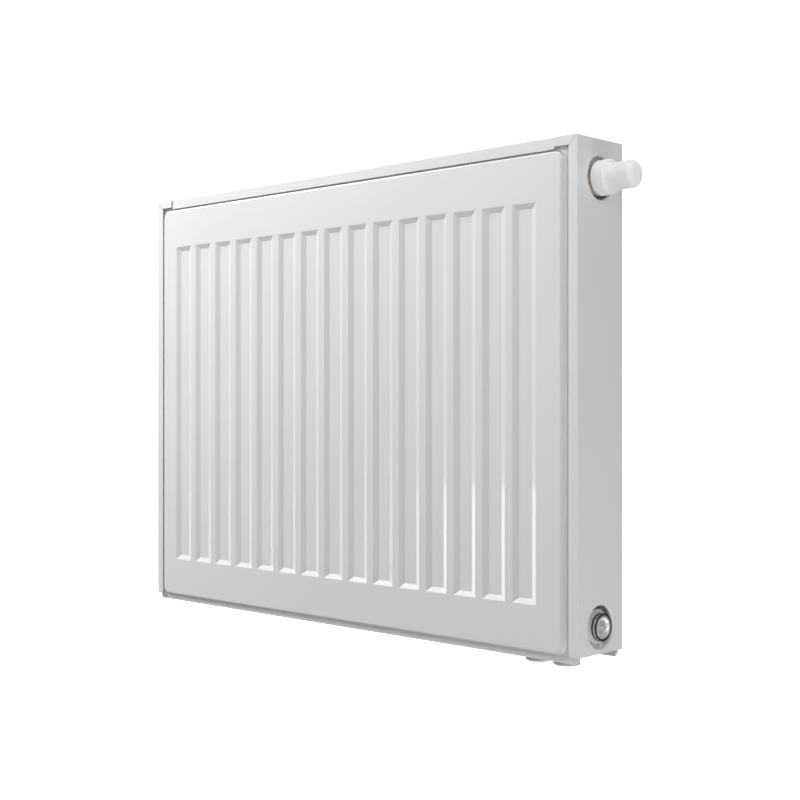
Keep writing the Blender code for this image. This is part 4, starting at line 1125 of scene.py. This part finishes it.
def backdrop():
    """Round floor that curves up into a wall all round, and that doesn't light the object."""
    floor = LOWER - FLOOR_DROP
    profile = [(0.001, floor), (FLOOR_FLAT, floor)]
    profile += arc((WALL_RADIUS - WALL_BEND, floor + WALL_BEND), WALL_BEND, -90, 0, 14)
    profile.append((WALL_RADIUS, floor + WALL_BEND + WALL_RISE))
    bm = bmesh.new()
    facets = 96
    rings = [
        [bm.verts.new((x, y, z)) for x, y in disc_outline(r, facets)] for r, z in profile
    ]
    bm.faces.new(rings[0][::-1])
    for near, far in zip(rings, rings[1:]):
        for i in range(facets):
            j = (i + 1) % facets
            bm.faces.new([near[i], near[j], far[j], far[i]])
    bmesh.ops.recalc_face_normals(bm, faces=bm.faces)
    mesh = bpy.data.meshes.new("studio_floor")
    bm.to_mesh(mesh)
    bm.free()
    mesh.shade_smooth()
    mesh.materials.append(stage_material())
    floor_object = bpy.data.objects.new("studio_floor", mesh)
    bpy.context.scene.collection.objects.link(floor_object)
    floor_object.visible_diffuse = False
    floor_object.visible_glossy = False
    floor_object.visible_shadow = False


backdrop()


CENTRE = at(0.0, MIDDLE, HEIGHT / 2)


def softbox(name, place, width, height, power):
    """Lamp that points at the middle of the object and doesn't show in the picture."""
    light = bpy.data.lights.new(name, "AREA")
    light.shape = "RECTANGLE"
    light.size, light.size_y = width, height
    light.energy = power
    lamp = bpy.data.objects.new(name, light)
    bpy.context.scene.collection.objects.link(lamp)
    lamp.visible_camera = False
    lamp.location = place
    lamp.rotation_euler = (CENTRE - place).to_track_quat("-Z", "Y").to_euler()


def around(reach, bearing, climb):
    """Place of a lamp: reach from the middle, bearing from straight in front, climb above level."""
    bearing, climb = math.radians(bearing), math.radians(climb)
    level = reach * math.cos(climb)
    return CENTRE + Vector((
        level * math.sin(bearing), -level * math.cos(bearing), reach * math.sin(climb),
    ))


softbox("high_left", around(1.6, -60, 35), 0.5, 0.5, 23.0)
softbox("overhead", around(1.6, 20, 75), 0.5, 0.5, 5.3)
softbox("front_right", around(1.7, 25, 35), 0.5, 0.5, 4.5)
softbox("tall_strip", around(1.8, 55, 3), 0.10, 1.4, 4.0)
softbox("right", around(1.6, 92, 20), 0.5, 0.5, 2.4)
softbox("low_right", around(1.6, 92, -45), 0.5, 0.5, 4.0)
softbox("low_front", around(1.6, 75, -45), 0.5, 0.5, 1.6)
softbox("rear_left", around(1.8, -160, 20), 0.6, 0.6, 11.0)
softbox("low_left", around(1.8, -80, -13), 0.3, 0.4, 1.3)

SKY_STRENGTH = 0.25
world = bpy.data.worlds.new("studio_world")
world.use_nodes = True
sky = world.node_tree.nodes["Background"]
sky.inputs["Color"].default_value = (1.0, 1.0, 1.0, 1.0)
sky.inputs["Strength"].default_value = SKY_STRENGTH
bpy.context.scene.world = world

CAMERA_FROM_END = 0.7672
CAMERA_IN_FRONT = 1.0455
CAMERA_HEIGHT = 0.2497
CAMERA_TURN = 43.637
FOCAL_LENGTH = 61.78
SENSOR_WIDTH = 36.0

camera_data = bpy.data.cameras.new("camera")
camera_data.lens = FOCAL_LENGTH
camera_data.sensor_width = SENSOR_WIDTH
camera = bpy.data.objects.new("camera", camera_data)
bpy.context.scene.collection.objects.link(camera)
camera.location = at(HALF + CAMERA_FROM_END, -CAMERA_IN_FRONT, CAMERA_HEIGHT)
camera.rotation_euler = (math.radians(90.0), 0.0, math.radians(CAMERA_TURN))
bpy.context.scene.camera = camera
bpy.context.scene.view_settings.view_transform = "Standard"
